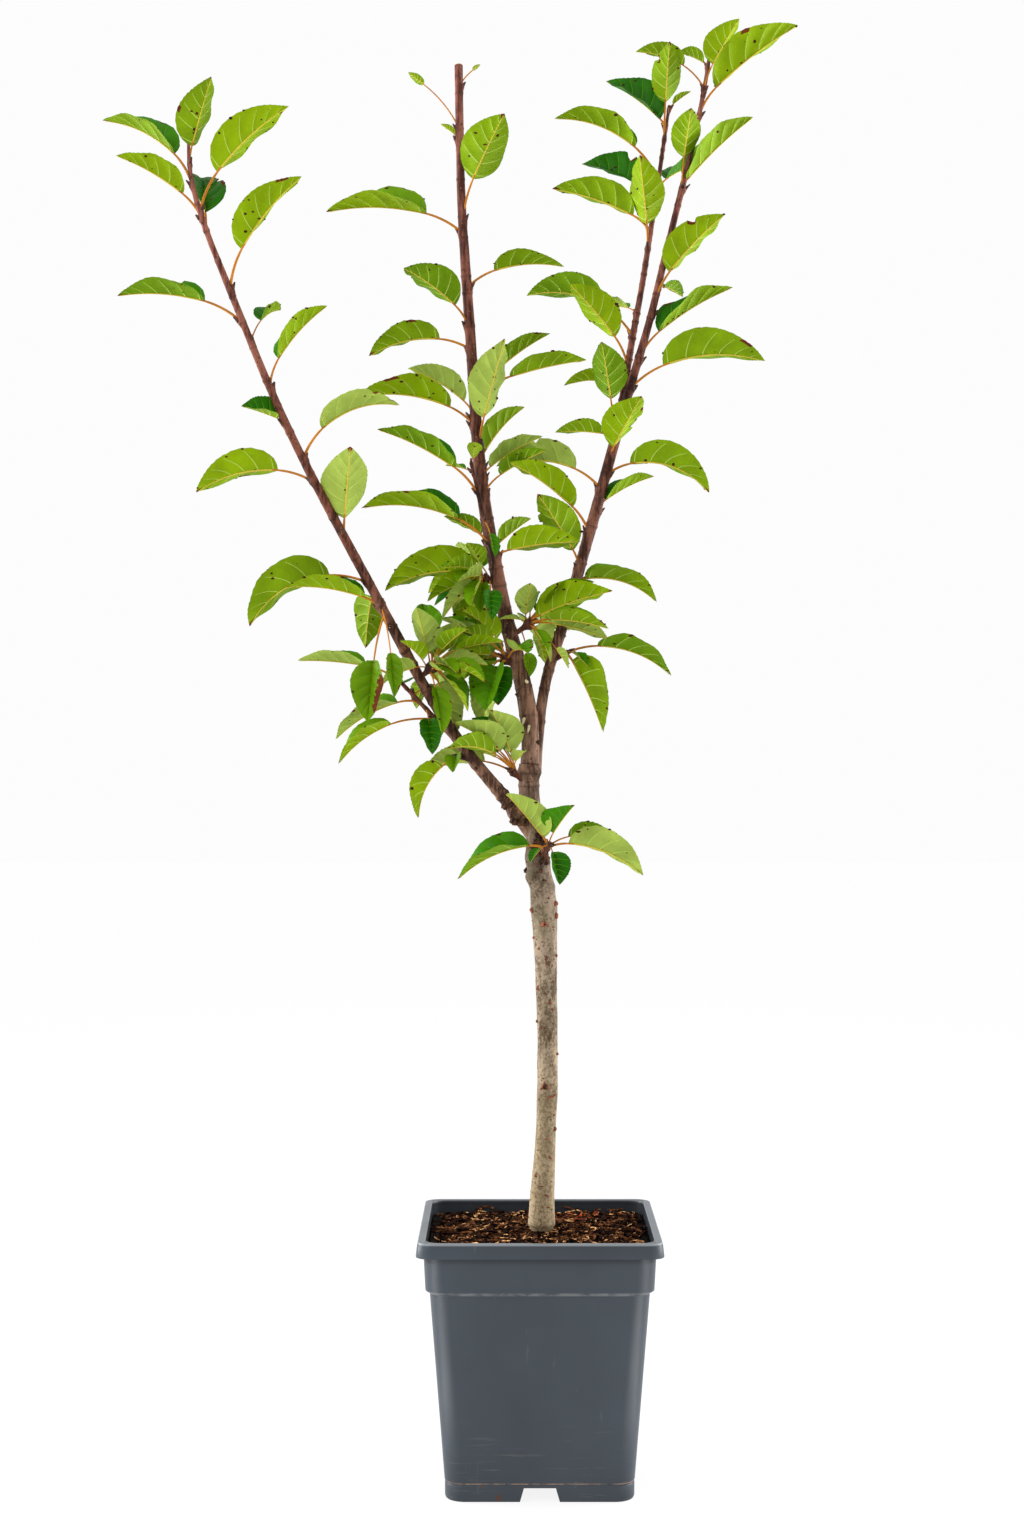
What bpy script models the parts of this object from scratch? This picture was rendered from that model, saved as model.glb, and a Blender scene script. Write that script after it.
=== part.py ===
"""A young potted apple tree: a square nursery pot, its compost, a leaning trunk,
three boughs and the leafy shoots, twigs and spurs that grow on from them.

Metres, +Z up, ground at z = 0. The origin is the middle of the pot's foot at ground level.
-Y is the front, and a compass bearing is counted from +X (0) through +Y (90).
"""

import math
import random

import bpy
from mathutils import Vector
from mathutils.bvhtree import BVHTree

MM = 0.001
CLEAR = 0.3 * MM  # the gap kept between pieces that touch

# ---------------------------------------------------------------- pot and compost
POT_HEIGHT = 202 * MM
RIM_WIDTH = 190 * MM
RIM_DEPTH = 11.5 * MM  # height of the lip that hangs outside the rim
RIM_TOP = 7.5 * MM  # breadth of the flat top of the rim
RIM_WALL = 3.2 * MM
RIM_CORNER = 12 * MM
BAND_TOP_WIDTH = 179.5 * MM  # the upper band, under the lip
BAND_FOOT_WIDTH = 175.7 * MM
BAND_FOOT = 163 * MM
STEP_HEIGHT = 2 * MM  # the slope from the band in to the body
BODY_TOP_WIDTH = 169.3 * MM
BODY_FOOT_WIDTH = 147 * MM
BODY_CORNER = 15 * MM
WALL = 2 * MM
SKIRT_HEIGHT = 14.5 * MM  # the foot ring, under the parting line
SKIRT_WIDTH = 145.5 * MM
PARTING_DEPTH = 0.6 * MM
FLOOR_UNDERSIDE = 13 * MM
NOTCH_HEIGHT = 11 * MM  # the drainage notch in the middle of each side of the foot
NOTCH_FOOT_WIDTH = 31.4 * MM
NOTCH_TOP_WIDTH = 24.5 * MM
PAD_WIDTH = 34 * MM  # the pad in the middle of the floor, which comes down to the ground
PAD_CORNER = 8 * MM
CORNER_STEPS = 4
COMPOST_TOP = 193.5 * MM

# ---------------------------------------------------------------- trunk and limbs
# A limb climbs to a height while it leans sideways (+X) and backwards (+Y). Each list of
# degrees, and each list of diameters in millimetres, is read at even stages of the climb.
TRUNK_FOOT = (2.3 * MM, 0.0)
TRUNK_TOP = 566 * MM
TRUNK_SIDE = (0, 4, 1.8, 0, -1.5, -1.5, -6, -11, 5)
TRUNK_BACK = (0, 0, 1, 1, 0, -1, 0, 1, 1)
TRUNK_GIRTH = (22.5, 19.2, 17.2, 16, 16.2, 16.4, 16.6, 17, 18.5, 21.5, 17, 15.6, 16, 17)

LEFT_START = (-5 * MM, 1 * MM, 510 * MM)
LEFT_CLIMB = 526 * MM
LEFT_SIDE = (-35, -41, -33, -28, -27.5, -28.5, -28, -25.5, -22.5, -21.5, -22, -17, 2)
LEFT_BACK = (-12, -12, -11, -11, -11, -11, -11, -10, -10, -10, -10, -8, -6)
LEFT_GIRTH = (12, 10, 8.8, 8.4, 7.9, 7.4, 6.8, 6.3, 5.9, 5.4, 4.9, 4, 2.4)

CENTRE_SIDE = (5, -10, -16, -10.5, -10.5, -6, -3.5, -4, -4, -4, -1.5, -1, -1)
CENTRE_BACK = (1, 3, 3, 3, 3, 3, 3, 3, 2, 2, 2, 2, 2)
CENTRE_TOP = 1132 * MM
CENTRE_GIRTH = (14.8, 14.4, 12.6, 11.4, 10.6, 10, 9.4, 8.8, 8.2, 7.4, 6.7, 6.6, 6.6)

RIGHT_START = (-2.5 * MM, 4 * MM, 561 * MM)
RIGHT_CLIMB = 582 * MM
RIGHT_SIDE = (3, 7, 19, 15.5, 16, 15, 16, 17, 13, 14, 14, 12, 8)
RIGHT_BACK = (4, 4, 5, 5, 5, 5, 4, 3, 2, 2, 2, 2, 2)
RIGHT_GIRTH = (9.5, 8.6, 8.8, 9, 9.2, 9, 8, 6.4, 5.6, 5.3, 4.8, 4, 2.9)

INNER_SHARE = 0.485  # how far up the right limb its inner shoot forks off
INNER_CLIMB = 266 * MM
INNER_SIDE = (7, 9, 11, 9, 9, 8, 9)
INNER_BACK = (10, 9, 8, 7, 6, 5, 5)
INNER_GIRTH = (7, 5.6, 5, 4.6, 4, 3.4, 2.4)

LEFT_BOUGH_END = 0.318  # shares of each limb's climb
LEFT_TOP_START = 0.545
CENTRE_BOUGH_END = 0.232
CENTRE_TOP_START = 0.47
RIGHT_BOUGH_END = 0.222
RIGHT_TOP_START = 0.5

# ---------------------------------------------------------------- leaves
BLADE_SLENDER = 1.85  # blade length over its breadth
BLADE_THICK = 1.4 * MM  # at the midrib; the margins are thin
BLADE_FOLD = 44  # degrees that each half rises from flat
BLADE_STATIONS = ((0.1, 0.58), (0.34, 1.0), (0.62, 0.86), (0.86, 0.42))  # share, breadth
STALK_ARCH = 28  # degrees that a stalk bends down on its way to the blade
STALK_GIRTH = 1.9 * MM
STALK_STEPS = 2
STALK_TAPER = 0.35  # share of the stalk's girth that is lost by the blade's base
STALK_POINT = 0.3  # girth of the end that is sunk in the blade, against the root's
FOLD_EASED = 0.35  # share of the fold that is lost by the tip
BLADE_THINNED = 0.4  # share of the thickness that is lost by the tip
TURNS_TRIED = (0, 6, -6, 12, -12, 18, -18)  # degrees a leaf turns aside to clear its neighbours
TWIST = 3  # degrees of seeded scatter in a leaf's bearing, lift and roll
GUARD = 1.2 * CLEAR  # the room that a new leaf needs round it
SEED = 11

# ---------------------------------------------------------------- fineness
TRUNK_RINGS, TRUNK_SIDES = 27, 12
BOUGH_RINGS, BOUGH_SIDES = 10, 10
STEM_SIDES = 8
SHOOT_RINGS, LOW_SHOOT_RINGS, TWIG_RINGS, SPUR_RINGS = 9, 6, 5, 3


def eased(stages, share):
    """The value at a share of the way through evenly spaced stages."""
    place = min(max(share, 0.0), 1.0) * (len(stages) - 1)
    low = min(int(place), len(stages) - 2)
    return stages[low] + (stages[low + 1] - stages[low]) * (place - low)


class Limb:
    """The line and girth of a trunk, bough, shoot or twig, all shares being of its climb."""

    STEPS = 48

    def __init__(self, start, climb, side, back, girth):
        self.girth = girth
        self.points = [Vector(start)]
        for step in range(self.STEPS):
            share = (step + 0.5) / self.STEPS
            slope = Vector((
                math.tan(math.radians(eased(side, share))),
                math.tan(math.radians(eased(back, share))),
                1.0,
            ))
            self.points.append(self.points[-1] + slope * climb / self.STEPS)

    def at(self, share):
        place = min(max(share, 0.0), 1.0) * self.STEPS
        low = min(int(place), self.STEPS - 1)
        return self.points[low].lerp(self.points[low + 1], place - low)

    def heading(self, share):
        reach = 1.0 / self.STEPS
        return (self.at(share + reach) - self.at(share - reach)).normalized()

    def radius(self, share):
        return eased(self.girth, share) * MM / 2


def leaf(share, bearing, lift, droop, blade, stalk=30, roll=12, wide=1.0):
    """One leaf of a shoot: where it sits, the way it points, how steeply the blade leaves
    its stalk and how far it bends down by the tip (degrees), its blade and stalk
    (millimetres), how far its front half is tipped up, and its breadth against the usual."""
    return share, bearing, lift, droop, blade * MM, stalk * MM, roll, wide


# ---------------------------------------------------------------- meshes
def finished(name, mesh, colour, roughness=0.6, metallic=0.0):
    """The sub-part's object, with a material of its own."""
    material = bpy.data.materials.new(name)
    material.use_nodes = True
    shader = material.node_tree.nodes["Principled BSDF"]
    shader.inputs["Base Color"].default_value = (*colour, 1.0)
    shader.inputs["Roughness"].default_value = roughness
    shader.inputs["Metallic"].default_value = metallic
    mesh.materials.clear()
    mesh.materials.append(material)
    piece = bpy.data.objects.new(name, mesh)
    bpy.context.scene.collection.objects.link(piece)
    return piece


def mesh_of(points, faces):
    mesh = bpy.data.meshes.new("piece")
    mesh.from_pydata(points, [], faces)
    mesh.validate()
    return mesh


def lofted(rings, closed_ends=True):
    """Points and faces of a skin through rings of equal count, listed anticlockwise from above."""
    count = len(rings[0])
    points = [point for ring in rings for point in ring]
    faces = []
    for level in range(len(rings) - 1):
        low, high = level * count, (level + 1) * count
        for i in range(count):
            j = (i + 1) % count
            faces.append((low + i, low + j, high + j, high + i))
    if closed_ends:
        faces.append(tuple(reversed(range(count))))
        faces.append(tuple(range(len(points) - count, len(points))))
    return points, faces


def tube(limb, low, high, rings, sides, spare=0.0):
    """Points and faces of a stretch of a limb, fatter by spare."""
    skins = []
    turn = 2 * math.pi / sides
    for ring in range(rings):
        share = low + (high - low) * ring / (rings - 1)
        along = limb.heading(share)
        across = Vector((0, 1, 0)).cross(along).normalized()
        behind = along.cross(across)
        middle = limb.at(share)
        radius = limb.radius(share) + spare
        skins.append([
            middle + (across * math.cos(turn * i) + behind * math.sin(turn * i)) * radius
            for i in range(sides)
        ])
    return lofted(skins)


def set_to(piece, modifier):
    """Applies the piece's only modifier."""
    bpy.context.view_layer.update()
    seen = piece.evaluated_get(bpy.context.evaluated_depsgraph_get())
    done = bpy.data.meshes.new_from_object(seen)
    piece.modifiers.remove(modifier)
    piece.data = done


def cut_by(piece, shapes):
    """Takes closed shapes, each given as points and faces, out of a piece."""
    for points, faces in shapes:
        cutter = bpy.data.objects.new("cutter", mesh_of(points, faces))
        cutter.hide_render = True
        cutter.display_type = "WIRE"
        bpy.context.scene.collection.objects.link(cutter)
        modifier = piece.modifiers.new("cut", "BOOLEAN")
        modifier.operation = "DIFFERENCE"
        modifier.object = cutter
        set_to(piece, modifier)
        bpy.data.objects.remove(cutter)


def fused(piece, shapes):
    """Joins closed shapes to a piece by one union on a collection."""
    gathered = bpy.data.collections.new("gathered")
    for points, faces in shapes:
        part = bpy.data.objects.new("part", mesh_of(points, faces))
        gathered.objects.link(part)
    modifier = piece.modifiers.new("fuse", "BOOLEAN")
    modifier.operation = "UNION"
    modifier.operand_type = "COLLECTION"
    modifier.solver = "MANIFOLD"
    modifier.collection = gathered
    set_to(piece, modifier)
    for part in list(gathered.objects):
        bpy.data.objects.remove(part)
    bpy.data.collections.remove(gathered)


# ---------------------------------------------------------------- pot
def rounded_square(width, corner, height):
    """A level ring of points, anticlockwise from above."""
    ring = []
    inset = width / 2 - corner
    for quarter in range(4):
        middle = math.pi / 4 + quarter * math.pi / 2
        for step in range(CORNER_STEPS + 1):
            angle = quarter * math.pi / 2 + step * math.pi / 2 / CORNER_STEPS
            ring.append(Vector((
                math.copysign(inset, math.cos(middle)) + corner * math.cos(angle),
                math.copysign(inset, math.sin(middle)) + corner * math.sin(angle),
                height,
            )))
    return ring


def notch_cutters():
    """Four wedges that open the foot ring in the middle of each side."""
    near, far = SKIRT_WIDTH / 2 - 3 * WALL, SKIRT_WIDTH
    section = [
        (-NOTCH_FOOT_WIDTH / 2 - MM / 4, -MM),
        (NOTCH_FOOT_WIDTH / 2 + MM / 4, -MM),
        (NOTCH_TOP_WIDTH / 2, NOTCH_HEIGHT),
        (-NOTCH_TOP_WIDTH / 2, NOTCH_HEIGHT),
    ]
    wedges = []
    for low, high in ((near, far), (-far, -near)):
        wedges.append([[Vector((across, end, up)) for across, up in section] for end in (high, low)])
        wedges.append([[Vector((end, across, up)) for across, up in section] for end in (low, high)])
    return [lofted(rings) for rings in wedges]


def make_pot():
    corner, inner_corner = BODY_CORNER, BODY_CORNER - WALL
    lip_foot = POT_HEIGHT - RIM_DEPTH
    outside = [
        (SKIRT_WIDTH, corner, 0.0),
        (SKIRT_WIDTH + MM, corner, SKIRT_HEIGHT - 2 * MM),
        (SKIRT_WIDTH + MM - 2 * PARTING_DEPTH, corner, SKIRT_HEIGHT - 1.4 * MM),
        (BODY_FOOT_WIDTH - MM, corner, SKIRT_HEIGHT - 0.8 * MM),
        (BODY_FOOT_WIDTH, corner, SKIRT_HEIGHT),
        (BODY_TOP_WIDTH, corner, BAND_FOOT - STEP_HEIGHT),
        (BAND_FOOT_WIDTH, corner, BAND_FOOT),
        (BAND_TOP_WIDTH, corner, lip_foot + 2 * MM),
        (BAND_TOP_WIDTH, corner, POT_HEIGHT - 2.2 * MM),
        (RIM_WIDTH - 2 * RIM_WALL, RIM_CORNER, POT_HEIGHT - 2.2 * MM),
        (RIM_WIDTH - 2 * RIM_WALL, RIM_CORNER, lip_foot),
        (RIM_WIDTH, RIM_CORNER, lip_foot),
        (RIM_WIDTH, RIM_CORNER, POT_HEIGHT - MM),
        (RIM_WIDTH - 2 * MM, RIM_CORNER - MM, POT_HEIGHT),
    ]
    mouth = RIM_WIDTH - 2 * RIM_TOP
    inside = [
        (mouth, inner_corner, POT_HEIGHT),
        (BAND_TOP_WIDTH - 2 * WALL - 0.6 * MM, inner_corner, POT_HEIGHT - 4 * MM),
        (BAND_FOOT_WIDTH - 2 * WALL, inner_corner, BAND_FOOT + MM),
        (BODY_TOP_WIDTH - 2 * WALL, inner_corner, BAND_FOOT - STEP_HEIGHT - MM),
        (BODY_FOOT_WIDTH - 2 * WALL, inner_corner, FLOOR_UNDERSIDE + WALL),
    ]
    under = [
        (SKIRT_WIDTH - 2 * WALL, inner_corner, 0.0),
        (SKIRT_WIDTH - 2 * WALL, inner_corner, FLOOR_UNDERSIDE),
        (PAD_WIDTH, PAD_CORNER, FLOOR_UNDERSIDE),
        (PAD_WIDTH, PAD_CORNER, 0.0),
    ]
    rings = [rounded_square(*row) for row in reversed(under)]
    rings += [rounded_square(*row) for row in outside + inside]
    piece = finished("pot", mesh_of(*lofted(rings)), (0.08, 0.09, 0.105), 0.45)
    cut_by(piece, notch_cutters())
    return piece


def make_compost():
    corner = BODY_CORNER - WALL - CLEAR
    spare = 2 * (WALL + CLEAR)
    rows = [
        (BODY_FOOT_WIDTH - spare, FLOOR_UNDERSIDE + WALL + CLEAR),
        (BODY_TOP_WIDTH - spare, BAND_FOOT - STEP_HEIGHT - MM),
        (BAND_FOOT_WIDTH - spare, BAND_FOOT + MM + CLEAR),
        (BAND_FOOT_WIDTH - spare + 1.2 * MM, COMPOST_TOP),
    ]
    rings = [rounded_square(width, corner, height) for width, height in rows]
    return finished("compost", mesh_of(*lofted(rings)), (0.05, 0.03, 0.02), 0.95)


# ---------------------------------------------------------------- limbs
def limbs():
    """The lines that everything grows along, by name."""
    foot = COMPOST_TOP + CLEAR
    trunk = Limb((*TRUNK_FOOT, foot), TRUNK_TOP - foot, TRUNK_SIDE, TRUNK_BACK, TRUNK_GIRTH)
    top = trunk.at(1.0)
    centre = Limb(
        top + Vector((0, 0, CLEAR)), CENTRE_TOP - top.z, CENTRE_SIDE, CENTRE_BACK, CENTRE_GIRTH
    )
    left = Limb(LEFT_START, LEFT_CLIMB, LEFT_SIDE, LEFT_BACK, LEFT_GIRTH)
    right = Limb(RIGHT_START, RIGHT_CLIMB, RIGHT_SIDE, RIGHT_BACK, RIGHT_GIRTH)
    inner = Limb(right.at(INNER_SHARE), INNER_CLIMB, INNER_SIDE, INNER_BACK, INNER_GIRTH)
    return {"trunk": trunk, "left": left, "centre": centre, "right": right, "inner": inner}


def spur(parent, share, length, bearing, rise, girth=(4.2, 3.4, 2.6)):
    """A side twig, from the line of its limb: its length outside the limb in millimetres, the
    way it points and how steeply it rises."""
    length += parent.radius(share) / MM
    turn = math.radians(bearing)
    slope = math.tan(math.radians(90 - rise))
    side = math.degrees(math.atan(slope * math.cos(turn)))
    back = math.degrees(math.atan(slope * math.sin(turn)))
    climb = length * MM * math.sin(math.radians(rise))
    return Limb(parent.at(share), climb, (side, side), (back, back), girth)


def spurs(lines):
    """The short side twigs that carry leaves, by name."""
    trunk, left, centre, right = (lines[name] for name in ("trunk", "left", "centre", "right"))
    return {
        "left_twig": spur(left, 0.125, 74, 192, 46, (5, 3.8, 2.6)),
        "left_inner": spur(left, 0.235, 12, 330, 40),
        "left_spur": spur(left, 0.11, 9, 200, 20),
        "centre_twig": spur(centre, 0.262, 90, 220, 73, (4.4, 3.4, 2.4)),
        "centre_left_spur": spur(centre, 0.252, 10, 188, 30),
        "centre_low_spur": spur(centre, 0.13, 12, 200, 40),
        "centre_right_spur": spur(centre, 0.18, 14, 345, 35),
        "fork_spur": spur(trunk, 0.95, 13, 215, 40),
        "trunk_spur": spur(trunk, 0.8, 20, 290, 25, (5.4, 4.4, 3.4)),
        "right_spur": spur(right, 0.15, 12, 340, 30),
    }


def stretches():
    """The stretch of a limb that each woody sub-part takes up, by name: the limb, the shares
    that it runs between, its rings and its sides."""
    lines = limbs()
    trunk, left, centre = lines["trunk"], lines["left"], lines["centre"]
    right, inner = lines["right"], lines["inner"]

    def above(line, share):
        """Just past a share of a limb, clear of the stretch that ends there."""
        return share + CLEAR / (line.points[-1].z - line.points[0].z)

    taken = {
        "trunk": (trunk, 0, 1, TRUNK_RINGS, TRUNK_SIDES),
        "left_bough": (left, 0, LEFT_BOUGH_END, BOUGH_RINGS, BOUGH_SIDES),
        "centre_bough": (centre, 0, CENTRE_BOUGH_END, BOUGH_RINGS, BOUGH_SIDES),
        "right_bough": (right, 0, RIGHT_BOUGH_END, BOUGH_RINGS, BOUGH_SIDES),
        "left_shoot_top": (left, above(left, LEFT_TOP_START), 1, SHOOT_RINGS, STEM_SIDES),
        "left_shoot_low": (
            left, above(left, LEFT_BOUGH_END), LEFT_TOP_START, LOW_SHOOT_RINGS, STEM_SIDES
        ),
        "centre_shoot_top": (centre, above(centre, CENTRE_TOP_START), 1, SHOOT_RINGS, STEM_SIDES),
        "centre_shoot_low": (
            centre, above(centre, CENTRE_BOUGH_END), CENTRE_TOP_START, LOW_SHOOT_RINGS, STEM_SIDES
        ),
        "right_outer_shoot": (right, above(right, RIGHT_TOP_START), 1, SHOOT_RINGS, STEM_SIDES),
        "right_shoot_low": (
            right, above(right, RIGHT_BOUGH_END), RIGHT_TOP_START, LOW_SHOOT_RINGS, STEM_SIDES
        ),
        "right_inner_shoot": (inner, 0, 1, SHOOT_RINGS, STEM_SIDES),
    }
    for name, line in spurs(lines).items():
        rings = TWIG_RINGS if name.endswith("twig") else SPUR_RINGS
        taken[name] = (line, 0, 1, rings, STEM_SIDES)
    return taken


BARK = (0.42, 0.34, 0.26)
GREEN = (0.2, 0.33, 0.03)


def make_limb(name, taken, parents=()):
    """The trunk or a bough, cut clear of the limbs that it leaves."""
    piece = finished(name, mesh_of(*tube(*taken[name])), BARK, 0.8)
    cut_by(piece, [tube(*taken[parent], spare=CLEAR) for parent in parents])
    return piece


# ---------------------------------------------------------------- leafy masses
def stepped(start, bearing, rises):
    """Points along a line that sets off at a bearing, from the rise and length of each step."""
    points = [start]
    turn = math.radians(bearing)
    for rise, length in rises:
        level = math.cos(math.radians(rise)) * length
        step = (level * math.cos(turn), level * math.sin(turn), math.sin(math.radians(rise)) * length)
        points.append(points[-1] + Vector(step))
    return points


def stalk_line(root, bearing, lift, length):
    """Points from the stem to the base of the blade."""
    return stepped(root, bearing, [
        (lift + STALK_ARCH * (1 - (step + 0.5) / STALK_STEPS), length / STALK_STEPS)
        for step in range(STALK_STEPS)
    ])


def blade_line(base, bearing, lift, droop, blade):
    """Points of the midrib at the base, at each station and at the tip."""
    shares = [0.0] + [share for share, breadth in BLADE_STATIONS] + [1.0]
    return stepped(base, bearing, [
        (lift - droop * (low + high) / 2, blade * (high - low))
        for low, high in zip(shares, shares[1:])
    ])


def stalk_shape(points, spare=0.0):
    """A three-sided stalk, whose last point is sunk in the blade."""
    rings = []
    last = len(points) - 1
    for i, point in enumerate(points):
        along = (points[min(i + 1, last)] - points[max(i - 1, 0)]).normalized()
        side = Vector((0, 0, 1)).cross(along).normalized()
        over = along.cross(side)
        taper = STALK_POINT if i == last else 1.0 - STALK_TAPER * i / last
        radius = STALK_GIRTH / 2 * taper + spare
        rings.append([
            point + (side * math.cos(turn) + over * math.sin(turn)) * radius
            for turn in (math.radians(210 + 120 * k) for k in range(3))
        ])
    return lofted(rings)


def blade_shape(points, bearing, roll, breadth, spare=0.0):
    """A folded blade: a lens section at each station between the pointed base and tip."""
    turn = math.radians(bearing)
    level = Vector((-math.sin(turn), math.cos(turn), 0))
    front_half = -1 if math.cos(turn) > 0 else 1  # whether the front half is the left one
    tip_up = math.radians(roll * front_half)
    corners = [points[0]]
    for i, (share, broad) in enumerate(BLADE_STATIONS, start=1):
        along = (points[i + 1] - points[i - 1]).normalized()
        over = along.cross(level)
        side = level * math.cos(tip_up) + over * math.sin(tip_up)
        over = along.cross(side)
        half = breadth / 2 * broad + spare
        raised = math.radians(BLADE_FOLD * (1 - FOLD_EASED * share))
        thick = BLADE_THICK / 2 * (1 - BLADE_THINNED * share) + spare
        left = points[i] + (over * math.sin(raised) + side * math.cos(raised)) * half
        right = points[i] + (over * math.sin(raised) - side * math.cos(raised)) * half
        corners += [left, points[i] - over * thick, right, points[i] + over * thick]
    corners.append(points[-1])
    return corners, blade_faces(len(corners) - 1)


def blade_faces(tip):
    """Triangles over the sections, whose points run left, under, right, over. Every diagonal
    runs from the midrib out to the margin, above and below alike, so the thin halves hold."""
    faces = []
    for k in range(4):
        n = (k + 1) % 4
        faces.append((0, 1 + k, 1 + n))
        for low in range(1, tip - 4, 4):
            high = low + 4
            if k % 2 == 0:
                faces += [(low + k, high + k, low + n), (high + k, high + n, low + n)]
            else:
                faces += [(low + k, high + k, high + n), (low + k, high + n, low + n)]
        faces.append((tip - 4 + k, tip, tip - 4 + n))
    return faces


def leaf_shapes(root, row, spare=0.0):
    """The stalk and the blade of a leaf, each closed."""
    share, bearing, lift, droop, blade, stalk, roll, wide = row
    stalk_points = stalk_line(root, bearing, lift, stalk)
    blade_points = blade_line(stalk_points[-1], bearing, lift, droop, blade)
    return (
        stalk_shape(stalk_points + [blade_points[1]], spare),
        blade_shape(blade_points, bearing, roll, blade / BLADE_SLENDER * wide, spare),
    )


def netted(shape):
    return BVHTree.FromPolygons(*shape)


class Crown:
    """Grows the masses one after another, and keeps what each new leaf has to clear."""

    def __init__(self, taken):
        self.taken = taken
        self.stems = {name: netted(tube(*stretch)) for name, stretch in taken.items()}
        self.grown = []  # the name of the mass, the stalk's net and the blade's net of each leaf
        self.left_out = []
        self.chance = random.Random(SEED)

    def strayed(self, degrees):
        return degrees + self.chance.uniform(-TWIST, TWIST)

    def met(self, name, stalk, blade):
        """What a leaf of the named mass would touch."""
        touched = [
            other for other, net in self.stems.items()
            if other != name and (stalk.overlap(net) or blade.overlap(net))
        ]
        for other, other_stalk, other_blade in self.grown:
            if blade.overlap(other_blade) or blade.overlap(other_stalk):
                touched.append(other)
            elif stalk.overlap(other_blade) or (other != name and stalk.overlap(other_stalk)):
                touched.append(other)
        return touched

    def leaf(self, name, row):
        """The leaf's shapes where it clears everything, turned aside a little if it has to."""
        share, bearing, lift, droop, blade, stalk, roll, wide = row
        bearing, lift, roll = self.strayed(bearing), self.strayed(lift), self.strayed(roll)
        root = self.taken[name][0].at(share)
        for aside in TURNS_TRIED:
            turned = (share, bearing + aside, lift, droop, blade, stalk, roll, wide)
            guard = [netted(shape) for shape in leaf_shapes(root, turned, GUARD)]
            touched = self.met(name, *guard)
            if not touched:
                shapes = leaf_shapes(root, turned)
                self.grown.append((name, *(netted(shape) for shape in shapes)))
                return shapes
        self.left_out.append(f"{name} {share:.3f} for {', '.join(touched)}")
        return ()

    def mass(self, name, rows, parents=()):
        """One leafy mass: its stem, cut clear of the limbs it leaves, and its leaves fused on."""
        piece = finished(name, mesh_of(*tube(*self.taken[name])), GREEN, 0.5)
        cut_by(piece, [tube(*self.taken[parent], spare=CLEAR) for parent in parents])
        shapes = []
        for row in rows:
            shapes += self.leaf(name, row)
        fused(piece, shapes)
        return piece


# ---------------------------------------------------------------- what grows where
def left_top_leaves():
    return [
        leaf(0.555, 352, 43, 56, 66, stalk=28),
        leaf(0.605, 200, 20, 10, 30, stalk=8, roll=-35, wide=1.9),
        leaf(0.657, 12, 60, 24, 57, stalk=24, roll=20),
        leaf(0.722, 62, 42, 30, 32, stalk=24, wide=1.3),
        leaf(0.748, 188, 14, 27, 67, stalk=34, roll=6),
        leaf(0.794, 350, 57, 24, 72, stalk=33, roll=18),
        leaf(0.88, 100, 50, 20, 58, stalk=16, wide=1.2),
        leaf(0.892, 197, 38, 22, 57, stalk=25),
        leaf(0.904, 350, 53, 24, 74, stalk=33, roll=16),
        leaf(0.94, 165, 46, 38, 68, stalk=30, roll=-14),
        leaf(0.97, 310, 62, 6, 54, stalk=14, roll=0, wide=1.2),
    ]


def left_low_leaves():
    return [
        leaf(0.336, 190, 20, 26, 62, stalk=18),
        leaf(0.332, 250, -74, 6, 50, stalk=46, roll=0, wide=1.25),
        leaf(0.345, 292, -72, 8, 36, stalk=46, roll=0, wide=0.9),
        leaf(0.362, 104, -28, 40, 50, stalk=12, wide=1.2),
        leaf(0.375, 183, -4, 62, 78, stalk=32, roll=4),
        leaf(0.444, 280, 60, 4, 60, stalk=14, roll=0, wide=1.4),
        leaf(0.521, 178, 3, 40, 68, stalk=31, roll=6),
    ]


def left_twig_leaves():
    return [
        leaf(0.45, 200, -20, 34, 54, stalk=38),
        leaf(0.7, 184, -12, 32, 58, stalk=17),
        leaf(0.8, 20, 10, 30, 18, stalk=10),
        leaf(0.98, 182, 10, 14, 54, stalk=30),
    ]


def left_inner_leaves():
    return [
        leaf(0.6, 350, 10, 28, 38, stalk=12),
        leaf(0.68, 300, -68, 10, 40, stalk=18),
        leaf(0.76, 250, 58, 8, 44, stalk=12, roll=0, wide=1.2),
        leaf(0.82, 22, 44, 30, 34, stalk=10, wide=1.2),
        leaf(0.9, 70, 34, 30, 36, stalk=12, wide=1.2),
        leaf(0.94, 308, 30, 16, 38, stalk=16, roll=0),
        leaf(0.97, 332, -12, 20, 34, stalk=18, wide=1.3),
    ]


def left_spur_leaves():
    return [
        leaf(0.85, 202, -36, 52, 48, stalk=17, wide=1.15),
        leaf(0.95, 262, -16, 30, 24, stalk=18, wide=1.4),
    ]


def centre_top_leaves():
    return [
        leaf(0.478, 181, 25, 38, 76, stalk=27),
        leaf(0.49, 172, 42, 26, 54, stalk=18),
        leaf(0.51, 8, 44, 16, 50, stalk=37),
        leaf(0.52, 345, 18, 12, 64, stalk=34),
        leaf(0.59, 183, 8, 38, 60, stalk=27, roll=4),
        leaf(0.621, 214, 37, 20, 54, stalk=22, roll=16, wide=1.3),
        leaf(0.679, 354, 16, 32, 58, stalk=26, roll=4),
        leaf(0.757, 180, 17, 28, 82, stalk=34, roll=-4),
        leaf(0.772, 318, 58, 8, 58, stalk=36, roll=0, wide=1.45),
        leaf(0.89, 190, 40, 10, 14, stalk=7),
        leaf(0.907, 184, 38, 0, 16, stalk=47, roll=60),
        leaf(0.968, 0, 40, 0, 8, stalk=18, roll=50),
    ]


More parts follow.
